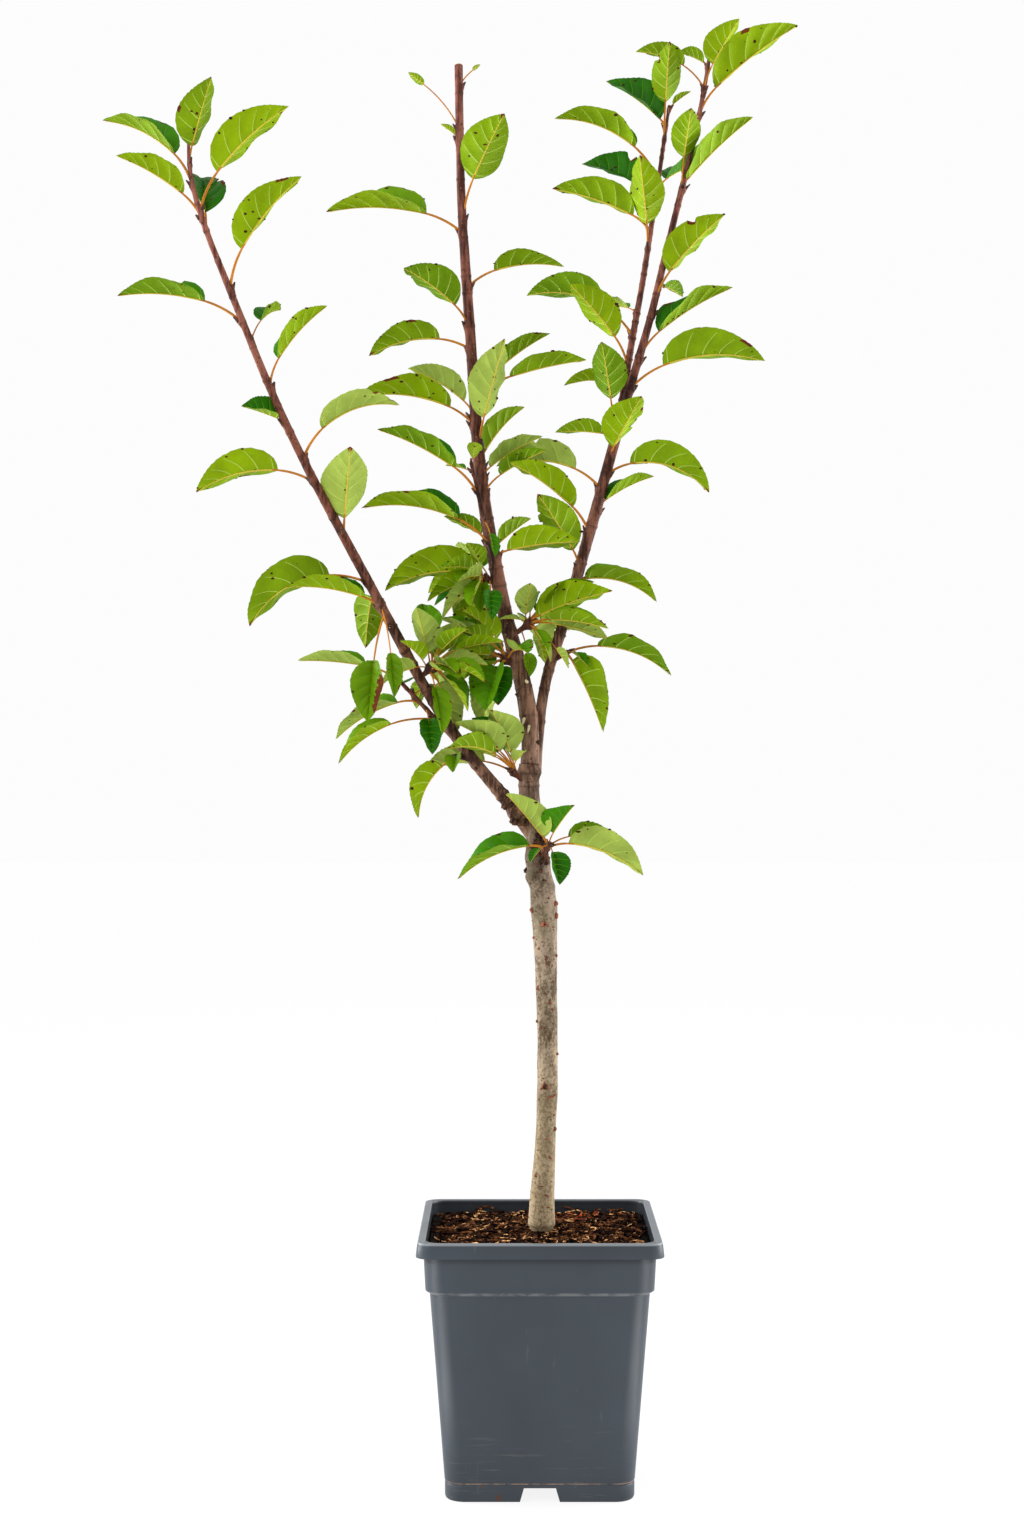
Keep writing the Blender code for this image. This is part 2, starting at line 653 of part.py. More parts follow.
def centre_low_leaves():
    return [
        leaf(0.3, 40, 40, 10, 40, stalk=10),
        leaf(0.293, 350, 14, 14, 60, stalk=12),
        leaf(0.383, 332, 28, 14, 46, stalk=22),
        leaf(0.405, 342, 38, 20, 50, stalk=12),
        leaf(0.42, 24, 60, 26, 54, stalk=14),
        leaf(0.44, 292, 58, 4, 70, stalk=30, roll=0, wide=1.05),
    ]


def centre_twig_leaves():
    return [
        leaf(0.29, 181, 27, 40, 80, stalk=33, roll=4),
        leaf(0.5, 300, -62, 6, 22, stalk=14),
        leaf(0.72, 196, 31, 20, 70, stalk=29, roll=4),
        leaf(0.9, 160, 20, 16, 18, stalk=8),
        leaf(0.98, 280, 30, 10, 22, stalk=6, wide=1.3),
    ]


def centre_left_spur_leaves():
    return [
        leaf(0.62, 182, 14, 48, 78, stalk=10, roll=0),
        leaf(0.72, 236, -4, 20, 34, stalk=10, wide=1.4),
        leaf(0.84, 196, -12, 24, 46, stalk=6),
        leaf(0.9, 216, -34, 14, 46, stalk=12),
        leaf(0.95, 150, 0, 30, 46, stalk=12),
    ]


def centre_low_spur_leaves():
    return [
        leaf(0.65, 172, 30, 14, 50, stalk=20, roll=-10),
        leaf(0.72, 206, 6, 16, 44, stalk=16),
        leaf(0.8, 250, -34, 30, 46, stalk=24, wide=1.5),
        leaf(0.86, 196, 50, 30, 38, stalk=18, wide=1.2),
        leaf(0.9, 138, 8, 24, 44, stalk=12, wide=1.2),
        leaf(0.93, 186, -14, 20, 36, stalk=14, wide=1.3),
        leaf(0.95, 214, -44, 20, 36, stalk=12, wide=1.2),
    ]


def centre_right_spur_leaves():
    return [
        leaf(0.62, 338, 22, 14, 68, stalk=14),
        leaf(0.7, 326, -2, 18, 58, stalk=22),
        leaf(0.78, 340, -10, 16, 50, stalk=18, wide=0.9),
        leaf(0.85, 300, -40, 10, 26, stalk=12),
        leaf(0.92, 48, 24, 20, 36, stalk=14, wide=1.2),
        leaf(0.98, 320, -60, 10, 24, stalk=16),
    ]


def fork_leaves():
    return [
        leaf(0.75, 188, 10, 30, 50, stalk=28),
        leaf(0.85, 208, 36, 20, 48, stalk=22, wide=1.4),
        leaf(0.9, 232, 58, 20, 44, stalk=16, wide=1.4),
        leaf(0.95, 150, 24, 30, 34, stalk=20, wide=1.2),
    ]


def trunk_spur_leaves():
    return [
        leaf(0.66, 192, -7, 40, 65, stalk=14, roll=4),
        leaf(0.7, 350, -2, 40, 66, stalk=18, roll=4),
        leaf(0.72, 20, 12, 40, 42, stalk=20),
        leaf(0.8, 212, 50, 8, 50, stalk=8, wide=1.3),
        leaf(0.86, 296, 46, 10, 38, stalk=12, roll=0, wide=1.1),
        leaf(0.92, 322, -62, 14, 32, stalk=10, wide=1.1),
        leaf(0.97, 236, -30, 14, 16, stalk=8, wide=1.3),
    ]


def right_low_leaves():
    return [
        leaf(0.26, 0, 8, 56, 64, stalk=8),
        leaf(0.279, 214, 52, 8, 56, stalk=16, wide=1.2),
        leaf(0.329, 195, 40, 20, 66, stalk=26, roll=20),
        leaf(0.357, 12, 40, 22, 46, stalk=14),
        leaf(0.39, 181, 22, 46, 66, stalk=27),
        leaf(0.41, 356, 10, 64, 72, stalk=22),
        leaf(0.43, 302, 44, 8, 54, stalk=12, wide=1.3),
        leaf(0.462, 181, 12, 16, 40, stalk=10),
        leaf(0.455, 252, 62, 8, 50, stalk=36, roll=0, wide=1.3),
    ]


def right_spur_leaves():
    return [
        leaf(0.62, 0, 4, 46, 66, stalk=30, roll=6),
        leaf(0.85, 322, -52, 14, 66, stalk=9, roll=0, wide=1.45),
        leaf(0.95, 300, -20, 10, 24, stalk=12),
    ]


def outer_leaves():
    return [
        leaf(0.53, 354, 20, 40, 84, stalk=34, roll=4),
        leaf(0.569, 8, 40, 20, 72, stalk=31, roll=4),
        leaf(0.635, 350, 50, 16, 64, stalk=38, roll=22, wide=1.1),
        leaf(0.672, 58, 6, 20, 34, stalk=12),
        leaf(0.81, 6, 48, 14, 76, stalk=10),
        leaf(0.812, 288, 54, 8, 43, stalk=26, roll=0, wide=1.25),
        leaf(0.915, 3, 47, 16, 86, stalk=28, roll=22),
        leaf(0.955, 170, 38, 34, 42, stalk=26),
        leaf(0.95, 318, 48, 8, 42, stalk=23, roll=0, wide=1.4),
        leaf(0.985, 150, 34, 20, 26, stalk=6, wide=1.3),
    ]


def inner_leaves():
    return [
        leaf(0.11, 192, 6, 26, 36, stalk=16),
        leaf(0.175, 212, 50, 12, 58, stalk=26, roll=20, wide=1.15),
        leaf(0.27, 164, 34, 44, 66, stalk=38),
        leaf(0.34, 130, 16, 20, 34, stalk=12),
        leaf(0.545, 254, 63, 6, 57, stalk=20, roll=0, wide=1.25),
        leaf(0.6, 174, 33, 20, 72, stalk=20),
        leaf(0.7, 156, 30, 20, 56, stalk=20, roll=-18, wide=1.15),
        leaf(0.72, 48, 34, 20, 46, stalk=20),
        leaf(0.76, 186, 38, 46, 72, stalk=34),
        leaf(0.925, 154, 46, 20, 62, stalk=10, roll=-26, wide=1.1),
        leaf(0.89, 272, 58, 6, 50, stalk=30, roll=0, wide=1.15),
        leaf(0.985, 350, 40, 10, 18, stalk=6),
    ]


def main():
    for thing in list(bpy.data.objects):
        bpy.data.objects.remove(thing)
    make_pot()
    make_compost()
    taken = stretches()
    make_limb("trunk", taken)
    make_limb("left_bough", taken, ["trunk"])
    make_limb("centre_bough", taken)
    make_limb("right_bough", taken, ["trunk", "centre_bough"])

    crown = Crown(taken)
    crown.mass("left_shoot_top", left_top_leaves())
    crown.mass("left_shoot_low", left_low_leaves())
    crown.mass("centre_shoot_top", centre_top_leaves())
    crown.mass("centre_shoot_low", centre_low_leaves())
    crown.mass("right_outer_shoot", outer_leaves())
    crown.mass("right_inner_shoot", inner_leaves(), ["right_shoot_low", "right_outer_shoot"])
    crown.mass("right_shoot_low", right_low_leaves())
    crown.mass("left_twig", left_twig_leaves(), ["left_bough"])
    crown.mass("centre_twig", centre_twig_leaves(), ["centre_shoot_low"])
    crown.mass("trunk_spur", trunk_spur_leaves(), ["trunk"])
    crown.mass("right_spur", right_spur_leaves(), ["right_bough"])
    crown.mass("centre_left_spur", centre_left_spur_leaves(), ["centre_shoot_low"])
    crown.mass("centre_right_spur", centre_right_spur_leaves(), ["centre_bough"])
    crown.mass("centre_low_spur", centre_low_spur_leaves(), ["centre_bough"])
    crown.mass("left_inner", left_inner_leaves(), ["left_bough"])
    crown.mass("left_spur", left_spur_leaves(), ["left_bough"])
    crown.mass("fork_spur", fork_leaves(), ["trunk", "centre_bough"])
    print("left out:", *crown.left_out, sep="\n  ")


main()
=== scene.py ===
# %% [markdown]
# # A young apple tree in a square nursery pot
# The real thing is a whip of a tree: a grey trunk that leans a little, three boughs cut from
# old wood, this year's purplish shoots on them, and some hundred folded leaves. It stands in
# a moulded grey pot filled with coarse compost.
#
# The imported model already has every solid in its true place, in metres, with the ground at
# z = 0. We load it as a fixed frame and grow finer pieces over it. The finished tree must
# not outgrow it.

# %% Load the frame
import math
import random

import bmesh
import bpy
import numpy as np
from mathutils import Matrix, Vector, noise
from mathutils.bvhtree import BVHTree


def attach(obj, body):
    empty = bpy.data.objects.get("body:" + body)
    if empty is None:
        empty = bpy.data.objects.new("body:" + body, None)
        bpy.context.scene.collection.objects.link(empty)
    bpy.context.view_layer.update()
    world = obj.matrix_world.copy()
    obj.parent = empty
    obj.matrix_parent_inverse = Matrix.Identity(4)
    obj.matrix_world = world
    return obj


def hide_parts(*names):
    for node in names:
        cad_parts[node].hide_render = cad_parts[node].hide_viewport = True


MM = 0.001
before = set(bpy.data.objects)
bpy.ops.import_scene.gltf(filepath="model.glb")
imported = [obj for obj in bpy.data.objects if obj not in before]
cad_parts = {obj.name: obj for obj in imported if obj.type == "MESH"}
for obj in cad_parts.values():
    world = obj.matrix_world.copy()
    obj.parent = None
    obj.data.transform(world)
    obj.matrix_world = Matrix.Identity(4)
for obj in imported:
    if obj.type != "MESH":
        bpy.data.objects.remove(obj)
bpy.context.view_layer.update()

# %% [markdown]
# ## Camera
# A tree this slender is looked at from the side, level, from a little under two metres away,
# so that its trunk stays straight. The camera is placed first, since all that follows is
# judged through it.

# %% Place the camera
EYE = (-0.0214, -1.846, 0.5632)
LENS = 54.2  # millimetres, on a sensor 36 mm high


def placed(name, data):
    """A new object of the scene."""
    thing = bpy.data.objects.new(name, data)
    bpy.context.scene.collection.objects.link(thing)
    return thing


camera = placed("camera", bpy.data.cameras.new("camera"))
camera.data.lens, camera.data.sensor_width = LENS, 36
camera.location = EYE
camera.rotation_euler = (math.pi / 2, 0, 0)
bpy.context.scene.camera = camera
print("camera", [round(v, 3) for v in camera.location])

# %% [markdown]
# ## Light and floor
# The tree stands in a white studio. A white world fills every shadow, as white walls do, and
# a large soft light from the upper left gives the leaves their form. Two broad lights a
# little behind the tree brighten the trunk's edges. The pot's walls lean, so they mirror the
# floor: two glowing strips that lie on it draw the light lines down the pot's round corners.
# The "Standard" view keeps the greens as saturated as the finishes say.

# %% Light the studio
bpy.context.scene.view_settings.view_transform = "Standard"
world = bpy.data.worlds.new("studio")
bpy.context.scene.world = world
world.use_nodes = True
glow = world.node_tree.nodes["Background"].inputs
glow["Color"].default_value, glow["Strength"].default_value = (1, 1, 1, 1), 0.98


def soft_light(name, place, aim, size, watts):
    """A rectangle of light that faces a point."""
    data = bpy.data.lights.new(name, "AREA")
    data.shape = "RECTANGLE"
    data.size, data.size_y = size
    data.energy = watts
    lamp = placed(name, data)
    lamp.location = place
    lamp.rotation_euler = (Vector(aim) - Vector(place)).to_track_quat("-Z", "Y").to_euler()
    return lamp


soft_light("key", (-1.5, -1.6, 2.1), (0, 0, 0.7), (1.2, 1.2), 30)
for side in (-1, 1):
    soft_light("edge", (1.7 * side, 0.45, 0.7), (0, 0, 0.6), (0.9, 2.0), 60)
    aside, ahead = 0.37 * side, -0.22
    strip = soft_light("strip", (aside, ahead, 2 * MM), (aside, ahead, 1), (0.5, 0.16), 1.35)
    strip.rotation_euler = (math.pi, 0, -side * math.radians(26))

# %% [markdown]
# ## Building materials
# A finish is a small network of nodes. Wired by hand, even "one minus the mask" takes three
# lines, so one class wraps a socket and lets us write sums on it, and one method makes every
# other node: its settings first, then what goes into its sockets.

# %% Helpers for node trees
class Value:
    """The output of a node. Sums on it add Math nodes to its tree."""

    def __init__(self, sheet, socket):
        self.sheet, self.socket = sheet, socket

    def worked(self, operation, *terms):
        settings = {"operation": operation}
        return self.sheet.node("ShaderNodeMath", settings, dict(enumerate(terms)))

    def __add__(self, other):
        return self.worked("ADD", self, other)

    def __sub__(self, other):
        return self.worked("SUBTRACT", self, other)

    def __rsub__(self, other):
        return self.worked("SUBTRACT", other, self)

    def __mul__(self, other):
        return self.worked("MULTIPLY", self, other)

    __radd__, __rmul__ = __add__, __mul__


class Sheet:
    """A tree of nodes under construction."""

    def __init__(self, tree):
        self.tree = tree

    def node(self, kind, settings=None, inputs=None, output=0):
        node = self.tree.nodes.new(kind)
        for name, value in (settings or {}).items():
            if name == "stops":
                self.set_stops(node.color_ramp, value)
            else:
                setattr(node, name, value)
        for name, value in (inputs or {}).items():
            if isinstance(value, Value):
                self.tree.links.new(value.socket, node.inputs[name])
            else:
                node.inputs[name].default_value = value
        return Value(self, node.outputs[output])

    def set_stops(self, ramp, stops):
        while len(ramp.elements) > len(stops):
            ramp.elements.remove(ramp.elements[-1])
        for i, (place, colour) in enumerate(stops):
            stop = ramp.elements[i] if i < len(ramp.elements) else ramp.elements.new(place)
            stop.position, stop.color = place, (*colour, 1)


def seen(red, green, blue):
    """A colour given as it looks on a screen, 0 to 255, as the light values a shader takes."""
    def light(level):
        level /= 255
        return level / 12.92 if level <= 0.04045 else ((level + 0.055) / 1.055) ** 2.4
    return light(red), light(green), light(blue)


class Finish(Sheet):
    """A material, and short names for the patterns that finishes share."""

    def __init__(self, name, roughness, gloss):
        self.material = bpy.data.materials.new(name)
        self.material.use_nodes = True
        super().__init__(self.material.node_tree)
        self.shader = self.tree.nodes["Principled BSDF"]
        self.feed("Roughness", roughness)
        self.feed("Specular IOR Level", gloss)

    def place(self, scale=(1, 1, 1)):
        """Where a point is on the piece, stretched by a scale."""
        where = self.node("ShaderNodeTexCoord", output="Object")
        return self.node("ShaderNodeMapping", None, {"Vector": where, "Scale": scale})

    def clouds(self, scale, stretch=(1, 1, 1), detail=3, rough=0.55):
        """Soft noise between 0 and 1."""
        inputs = {
            "Vector": self.place(stretch), "Scale": scale, "Detail": detail, "Roughness": rough,
        }
        return self.node("ShaderNodeTexNoise", None, inputs)

    def between(self, value, low, high, start=0.0, end=1.0):
        """A value's way from low to high, as a number from start to end."""
        inputs = {"Value": value, "From Min": low, "From Max": high, "To Min": start, "To Max": end}
        return self.node("ShaderNodeMapRange", {"clamp": True}, inputs)

    def marks(self, low, high, *clouds, **more):
        """Clouds that fade in from low to high."""
        return self.between(self.clouds(*clouds, **more), low, high)

    def mixed(self, share, first, second):
        """Two colours mixed by a share."""
        def four(colour):
            return colour if isinstance(colour, Value) else (*colour, 1)
        inputs = {0: share, 6: four(first), 7: four(second)}
        return self.node("ShaderNodeMix", {"data_type": "RGBA"}, inputs, output=2)

    def tint(self, share, *levels):
        """Lays a colour, given as it is seen, over the colour so far."""
        self.colour = self.mixed(share, self.colour, seen(*levels))

    def feed(self, socket, value):
        if isinstance(value, Value):
            self.tree.links.new(value.socket, self.shader.inputs[socket])
        else:
            plain = (*value, 1) if isinstance(value, tuple) else value
            self.shader.inputs[socket].default_value = plain

    def made(self, colour, height, depth, strength):
        """The material, once it has its colour and the pattern of its small bumps."""
        self.feed("Base Color", colour)
        inputs = {"Height": height, "Distance": depth, "Strength": strength}
        self.feed("Normal", self.node("ShaderNodeBump", None, inputs))
        return self.material


print("white is seen as", seen(255, 255, 255))
# %% [markdown]
# ## Moulded plastic
# Pots of this kind are injection moulded from grey polypropylene. The finish is satin, with a
# faint cloudiness, fine scratches where pots were stacked, and a little soil dried on low
# down: a tan line in the groove over the foot, and rusty specks on the foot itself. Painted
# shade darkens the inner wall and a band just under the lip, and a painted highlight makes the
# top edge of the rim paler. Noise stretched along one axis makes good scratches, since a
# scratch is only a long thin cloud.

# %% Pot finish
GROOVE = (0.0134, 0.0138, 0.0145, 0.0149)  # heights of a band: where it starts, is full, ends
LEDGE = (0.1605, 0.1615, 0.163, 0.164)
# heights of the band of painted shadow under the lip: where it starts, is full, ends
LIP_SHADOW_BAND = (0.1855, 0.1903, 0.1906, 0.1912)


def pot_finish():
    finish = Finish("slate_plastic", 0.4, 0.22)
    across, deep, height = (
        finish.node("ShaderNodeSeparateXYZ", None, {0: finish.place()}, output=k) for k in range(3)
    )

    def at_heights(low, full, still, high):
        """A band of heights that fades in from low to full and out from still to high."""
        return finish.between(height, low, full) * finish.between(height, high, still)

    cloudy = finish.marks(0.3, 0.7, 9)
    finish.colour = finish.mixed(cloudy, seen(49, 55, 61), seen(57, 63, 70))
    low = finish.between(height, 0.075, 0.0)
    streaks = finish.marks(0.6, 0.7, 30, (1, 1, 14), 4)
    finish.tint(streaks * low * 0.5, 96, 96, 95)
    scratches = finish.marks(0.7, 0.74, 240, (1, 1, 0.12), 2)
    finish.tint(scratches * 0.12, 104, 110, 114)
    broken = finish.marks(0.4, 0.56, 70, detail=4, rough=0.7)
    finish.tint(at_heights(*GROOVE) * broken * 0.7, 150, 124, 104)
    finish.tint(at_heights(*LEDGE) * broken * 0.35, 138, 138, 136)
    foot = finish.between(height, 0.0138, 0.012)
    specks = finish.marks(0.67, 0.7, 110, detail=2)
    finish.tint(foot * specks * 0.9, 82, 48, 30)
    # painted shadow: a dark band on the wall just under the lip, where the lip shades it
    finish.tint(at_heights(*LIP_SHADOW_BAND) * 0.55, 18, 20, 24)
    # painted highlight: a paler band on the top of the rim, with less of it on the very top edge,
    # and a little smoother there
    lip_edge = finish.between(height, 0.20185, 0.20198)
    rim_highlight = finish.between(height, 0.2004, 0.2014) * (1 - lip_edge * 0.65)
    finish.tint(rim_highlight * 0.9, 122, 127, 132)
    # painted shade: the inner wall, above the compost, is darkened as a shaded recess
    out = across.worked("MAXIMUM", *(way.worked("ABSOLUTE", way) for way in (across, deep)))
    inside = finish.between(out, 0.0882, 0.0878) * finish.between(height, 0.185, 0.187)
    finish.tint(inside * 0.6, 22, 24, 28)
    satin = finish.between(finish.clouds(25), 0.2, 0.8, 0.36, 0.46)
    finish.feed("Roughness", satin - rim_highlight * 0.1)
    return finish.made(finish.colour, finish.clouds(900, detail=2), 0.05 * MM, 0.35)


PLASTIC = pot_finish()
print("made", PLASTIC.name)

# %% [markdown]
# ## Compost
# Nursery compost is peat and composted bark. The ground under the loose bits is nearly black
# in patches and warm brown in others: damp peat is dark, and the near black is painted shade
# for the gaps between the bits. Bright tan fibres lie on top. One finish covers the ground,
# and four plain ones cover the loose bits that lie on it.

# %% Compost finishes
def ground_finish():
    finish = Finish("damp_compost", 0.92, 0.05)
    lumps = finish.clouds(140, detail=5, rough=0.65)
    # nearly black in patches: dark peat, deepened by painted shade for the gaps between the loose
    # bits
    colour = finish.node("ShaderNodeValToRGB", {"stops": [
        (0.4, seen(5, 3, 2)), (0.56, seen(16, 9, 6)), (0.74, seen(50, 30, 20)),
    ]}, {"Fac": lumps})
    return finish.made(colour, finish.clouds(260, detail=4, rough=0.6), 1.5 * MM, 0.9)


def bit_finish(name, dark, pale):
    """Fibre or bark chip, in two colours."""
    finish = Finish(name, 0.85, 0.03)
    grain = finish.marks(0.42, 0.62, 260, detail=4, rough=0.65)
    colour = finish.mixed(grain, dark, pale)
    return finish.made(colour, finish.clouds(900, detail=2), 0.3 * MM, 0.7)


GROUND = ground_finish()
DARK_BIT = bit_finish("dark_bark_chip", seen(3, 1, 1), seen(42, 22, 13))
WARM_BIT = bit_finish("brown_fibre", seen(14, 6, 3), seen(112, 70, 42))
TAN_BIT = bit_finish("tan_fibre", seen(104, 58, 28), seen(244, 190, 130))
RED_BIT = bit_finish("red_bark_chip", seen(88, 30, 12), seen(180, 78, 38))
print("compost finishes:", *(
    finish.name for finish in (GROUND, DARK_BIT, WARM_BIT, TAN_BIT, RED_BIT)
))

# %% [markdown]
# ## Bark
# The trunk is grey-tan, finely mottled, with brown pits and dark dashes across it. Further
# out the wood is younger and turns purplish brown, with paler streaks along it. The change
# follows the age of the wood, not its height, so the mesh carries a number of its own for
# it, called "young": 0 at the trunk's foot and 1 at the tip of a shoot. Two ramps of colours
# read that number. A second number, called "ring", is high in the dark rings of the bark.

# %% Bark finishes
AGES = (0.0, 0.24, 0.42, 0.66, 1.0)
DARK_BARK = (
    seen(84, 72, 50), seen(72, 58, 46), seen(60, 38, 28), seen(42, 20, 14), seen(74, 38, 32),
)
PALE_BARK = (
    seen(158, 141, 116), seen(134, 116, 100), seen(138, 102, 82), seen(110, 63, 47),
    seen(148, 92, 76),
)


def bark_finish():
    finish = Finish("bark", 0.72, 0.14)
    young, ring = (
        finish.node("ShaderNodeAttribute", {"attribute_name": name}, output=2)
        for name in ("young", "ring")
    )
    age = young + (finish.clouds(14, (1, 1, 0.5)) - 0.5) * 0.12
    dark, pale = (
        finish.node("ShaderNodeValToRGB", {"stops": list(zip(AGES, colours))}, {"Fac": age})
        for colours in (DARK_BARK, PALE_BARK)
    )
    old = finish.between(young, 0.4, 0.2)
    streaks = finish.clouds(430, (1, 1, 0.12), 4, 0.6)
    specks = finish.clouds(520, (1, 1, 0.8), 5, 0.7)
    grain = specks * old + streaks * (1 - old)
    patches = finish.clouds(75, (1, 1, 0.5))
    light = finish.between(grain * 0.5 + patches * 0.5, 0.43, 0.58)
    finish.colour = finish.mixed(light, dark, pale)
    pits = finish.marks(0.63, 0.66, 230, (1, 1, 0.8), 2)
    finish.tint(pits * 0.85, 78, 42, 26)
    dashes = finish.marks(0.66, 0.7, 170, (0.7, 0.7, 3.6), 2)
    finish.tint(dashes * old * 0.75, 66, 42, 28)
    finish.tint(ring * 0.6, 36, 18, 12)
    height = finish.node("ShaderNodeSeparateXYZ", None, {0: finish.place()}, output=2)
    # paler in patches low on the trunk, between heights of 0.24 and 0.34 m
    paler_low = finish.between(height, 0.34, 0.24) * finish.between(grain, 0.3, 0.5)
    finish.tint(paler_low * 0.4, 184, 162, 126)
    moss = finish.marks(0.55, 0.7, 20, (1, 1, 0.4), 2)
    finish.tint(moss * finish.between(young, 0.42, 0.3) * 0.3, 112, 112, 70)
    return finish.made(finish.colour, grain + pits * -0.5, 0.35 * MM, 0.7)


def plain_wood(name, dark, pale, roughness, scale=420):
    """A small woody form: two colours in a fine grain."""
    finish = Finish(name, roughness, 0.15)
    grain = finish.marks(0.35, 0.65, scale, (1, 1, 0.5))
    colour = finish.mixed(grain, dark, pale)
    return finish.made(colour, finish.clouds(scale * 2, (1, 1, 0.5), 2), 0.15 * MM, 0.5)


BARK = bark_finish()
SCAR = plain_wood("bud_scar", seen(70, 34, 22), seen(146, 82, 54), 0.75)
BUD = plain_wood("bud_scale", seen(42, 25, 18), seen(96, 60, 44), 0.6)
KNOT = plain_wood("knot", seen(18, 10, 7), seen(92, 60, 42), 0.8, 300)
CREAM = plain_wood("healed_wound", seen(196, 180, 138), seen(226, 214, 178), 0.7)
CUT_WOOD = plain_wood("cut_wood", seen(176, 140, 92), seen(214, 184, 134), 0.75)
LENTICEL = plain_wood("lenticel", seen(96, 62, 42), seen(168, 138, 108), 0.8)
print("bark finishes:", *(
    finish.name for finish in (BARK, SCAR, BUD, KNOT, CREAM, CUT_WOOD, LENTICEL)
))

# %% [markdown]
# ## Leaves
# A leaf is dark and a little glossy above, and pale, matt and yellower underneath, where its
# veins stand out. On a real tree no two sprays are quite the same green. A pattern would
# wander across the veins, so each leaf is dealt one of several plain greens instead, and the
# finish only adds the faint mottling of the tissue between the smallest veins.

# %% Leaf finishes
def leaf_finish(name, colour, roughness, mottle=0.16):
    """A plain green with fine mottling."""
    finish = Finish(name, roughness, 0.06)
    fine, broad = (
        finish.marks(0.3, 0.7, scale, detail=detail)
        for scale, detail in ((420, 3), (48, 2))
    )
    shade, tint = (
        tuple(channel * light for channel in colour) for light in (1 - 1.5 * mottle, 1 + mottle)
    )
    colour = finish.mixed(fine * 0.25 + broad * 0.75, shade, tint)
    return finish.made(colour, finish.clouds(500, detail=2), 0.02 * MM, 0.15)


UNDERSIDES = [
    leaf_finish("underside_lime", seen(124, 152, 2), 0.55),
    leaf_finish("underside_spring", seen(112, 142, 6), 0.58),
    leaf_finish("underside_mid", seen(98, 132, 8), 0.58),
    leaf_finish("underside_grey", seen(146, 166, 70), 0.62),
]
UPPERSIDES = [
    leaf_finish("upperside_fresh", seen(92, 130, 4), 0.46),
    leaf_finish("upperside_bright", seen(74, 122, 2), 0.46),
    leaf_finish("upperside_mid", seen(54, 112, 2), 0.46),
    leaf_finish("upperside_deep", seen(34, 94, 2), 0.46),
]
VEIN = leaf_finish("vein", seen(162, 186, 82), 0.6, mottle=0.06)
UPPER_VEIN = leaf_finish("upper_vein", seen(74, 126, 10), 0.5, mottle=0.06)
RIB = leaf_finish("golden_rib", seen(190, 168, 58), 0.5, mottle=0.1)
STALK = leaf_finish("orange_stalk", seen(176, 112, 36), 0.5, mottle=0.2)
BROWN = leaf_finish("browned_edge", seen(96, 46, 18), 0.75, mottle=0.3)
SPOT = leaf_finish("leaf_spot", seen(66, 34, 14), 0.7, mottle=0.3)
LEAF_FINISHES = UNDERSIDES + UPPERSIDES + [VEIN, UPPER_VEIN, BROWN]
print("leaf finishes:", len(LEAF_FINISHES) + 3)

# %% [markdown]
# ## From numbers to a mesh
# Everything here is skinned the same way: closed rings of points, one after another, with
# faces between them. A helper turns the rings into faces, closes both ends, and a second one
# makes the mesh, smooth except along edges that are really sharp.

# %% Mesh helpers
class Skin:
    """Points and faces gathered for one piece, each face with the number of its finish."""

    def __init__(self):
        self.points, self.faces, self.kinds = [], [], []
        self.numbers = {}

    def rings(self, rings, kind_of=lambda row, column: 0, ends="caps", **numbers):
        """A closed skin through rings of equal count. An end is capped, or is a point."""
        first, count = len(self.points), len(rings[0])
        for ring in rings:
            self.points.extend(ring)
        for name, values in numbers.items():
            self.numbers.setdefault(name, []).extend(values)
        for row in range(len(rings) - 1):
            low, high = first + row * count, first + (row + 1) * count
            for i in range(count):
                j = (i + 1) % count
                self.faces.append((low + i, low + j, high + j, high + i))
                self.kinds.append(kind_of(row, i))
        last = len(self.points)
        if ends == "caps":
            self.faces.append(tuple(reversed(range(first, first + count))))
            self.faces.append(tuple(range(last - count, last)))
            self.kinds += [kind_of(0, 0), kind_of(len(rings) - 1, 0)]

    def piece(self, name, finishes, sharp=50):
        """The gathered skin as an object of the scene."""
        mesh = bpy.data.meshes.new(name)
        mesh.from_pydata([tuple(point) for point in self.points], [], self.faces)
        for finish in finishes:
            mesh.materials.append(finish)
        mesh.polygons.foreach_set("material_index", self.kinds)
        for label, values in self.numbers.items():
            mesh.attributes.new(label, "FLOAT", "POINT").data.foreach_set("value", values)
        mesh.shade_smooth()
        mesh.set_sharp_from_angle(angle=math.radians(sharp))
        print(f"{name}: {len(mesh.vertices)} points, {len(mesh.polygons)} faces")
        return placed(name, mesh)


def finish_piece(piece, slot, *nodes):
    """Fixes a piece to the tree, in place of the plain solids it stands for."""
    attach(piece, "root")
    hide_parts(*nodes)
    return piece


print("helpers ready")

# %% [markdown]
# ## The pot
# The pot is a stack of rounded squares: foot, groove, tapering body, upper band, and a lip
# that hangs outside. Real moulded edges are never sharp, so every corner of the profile gets
# three points in place of one, on a small fillet. Those fillets catch the light and draw the
# bright lines round the rim, helped by a highlight painted on the rim's top in the finish.
# The four drainage notches are cut out afterwards.

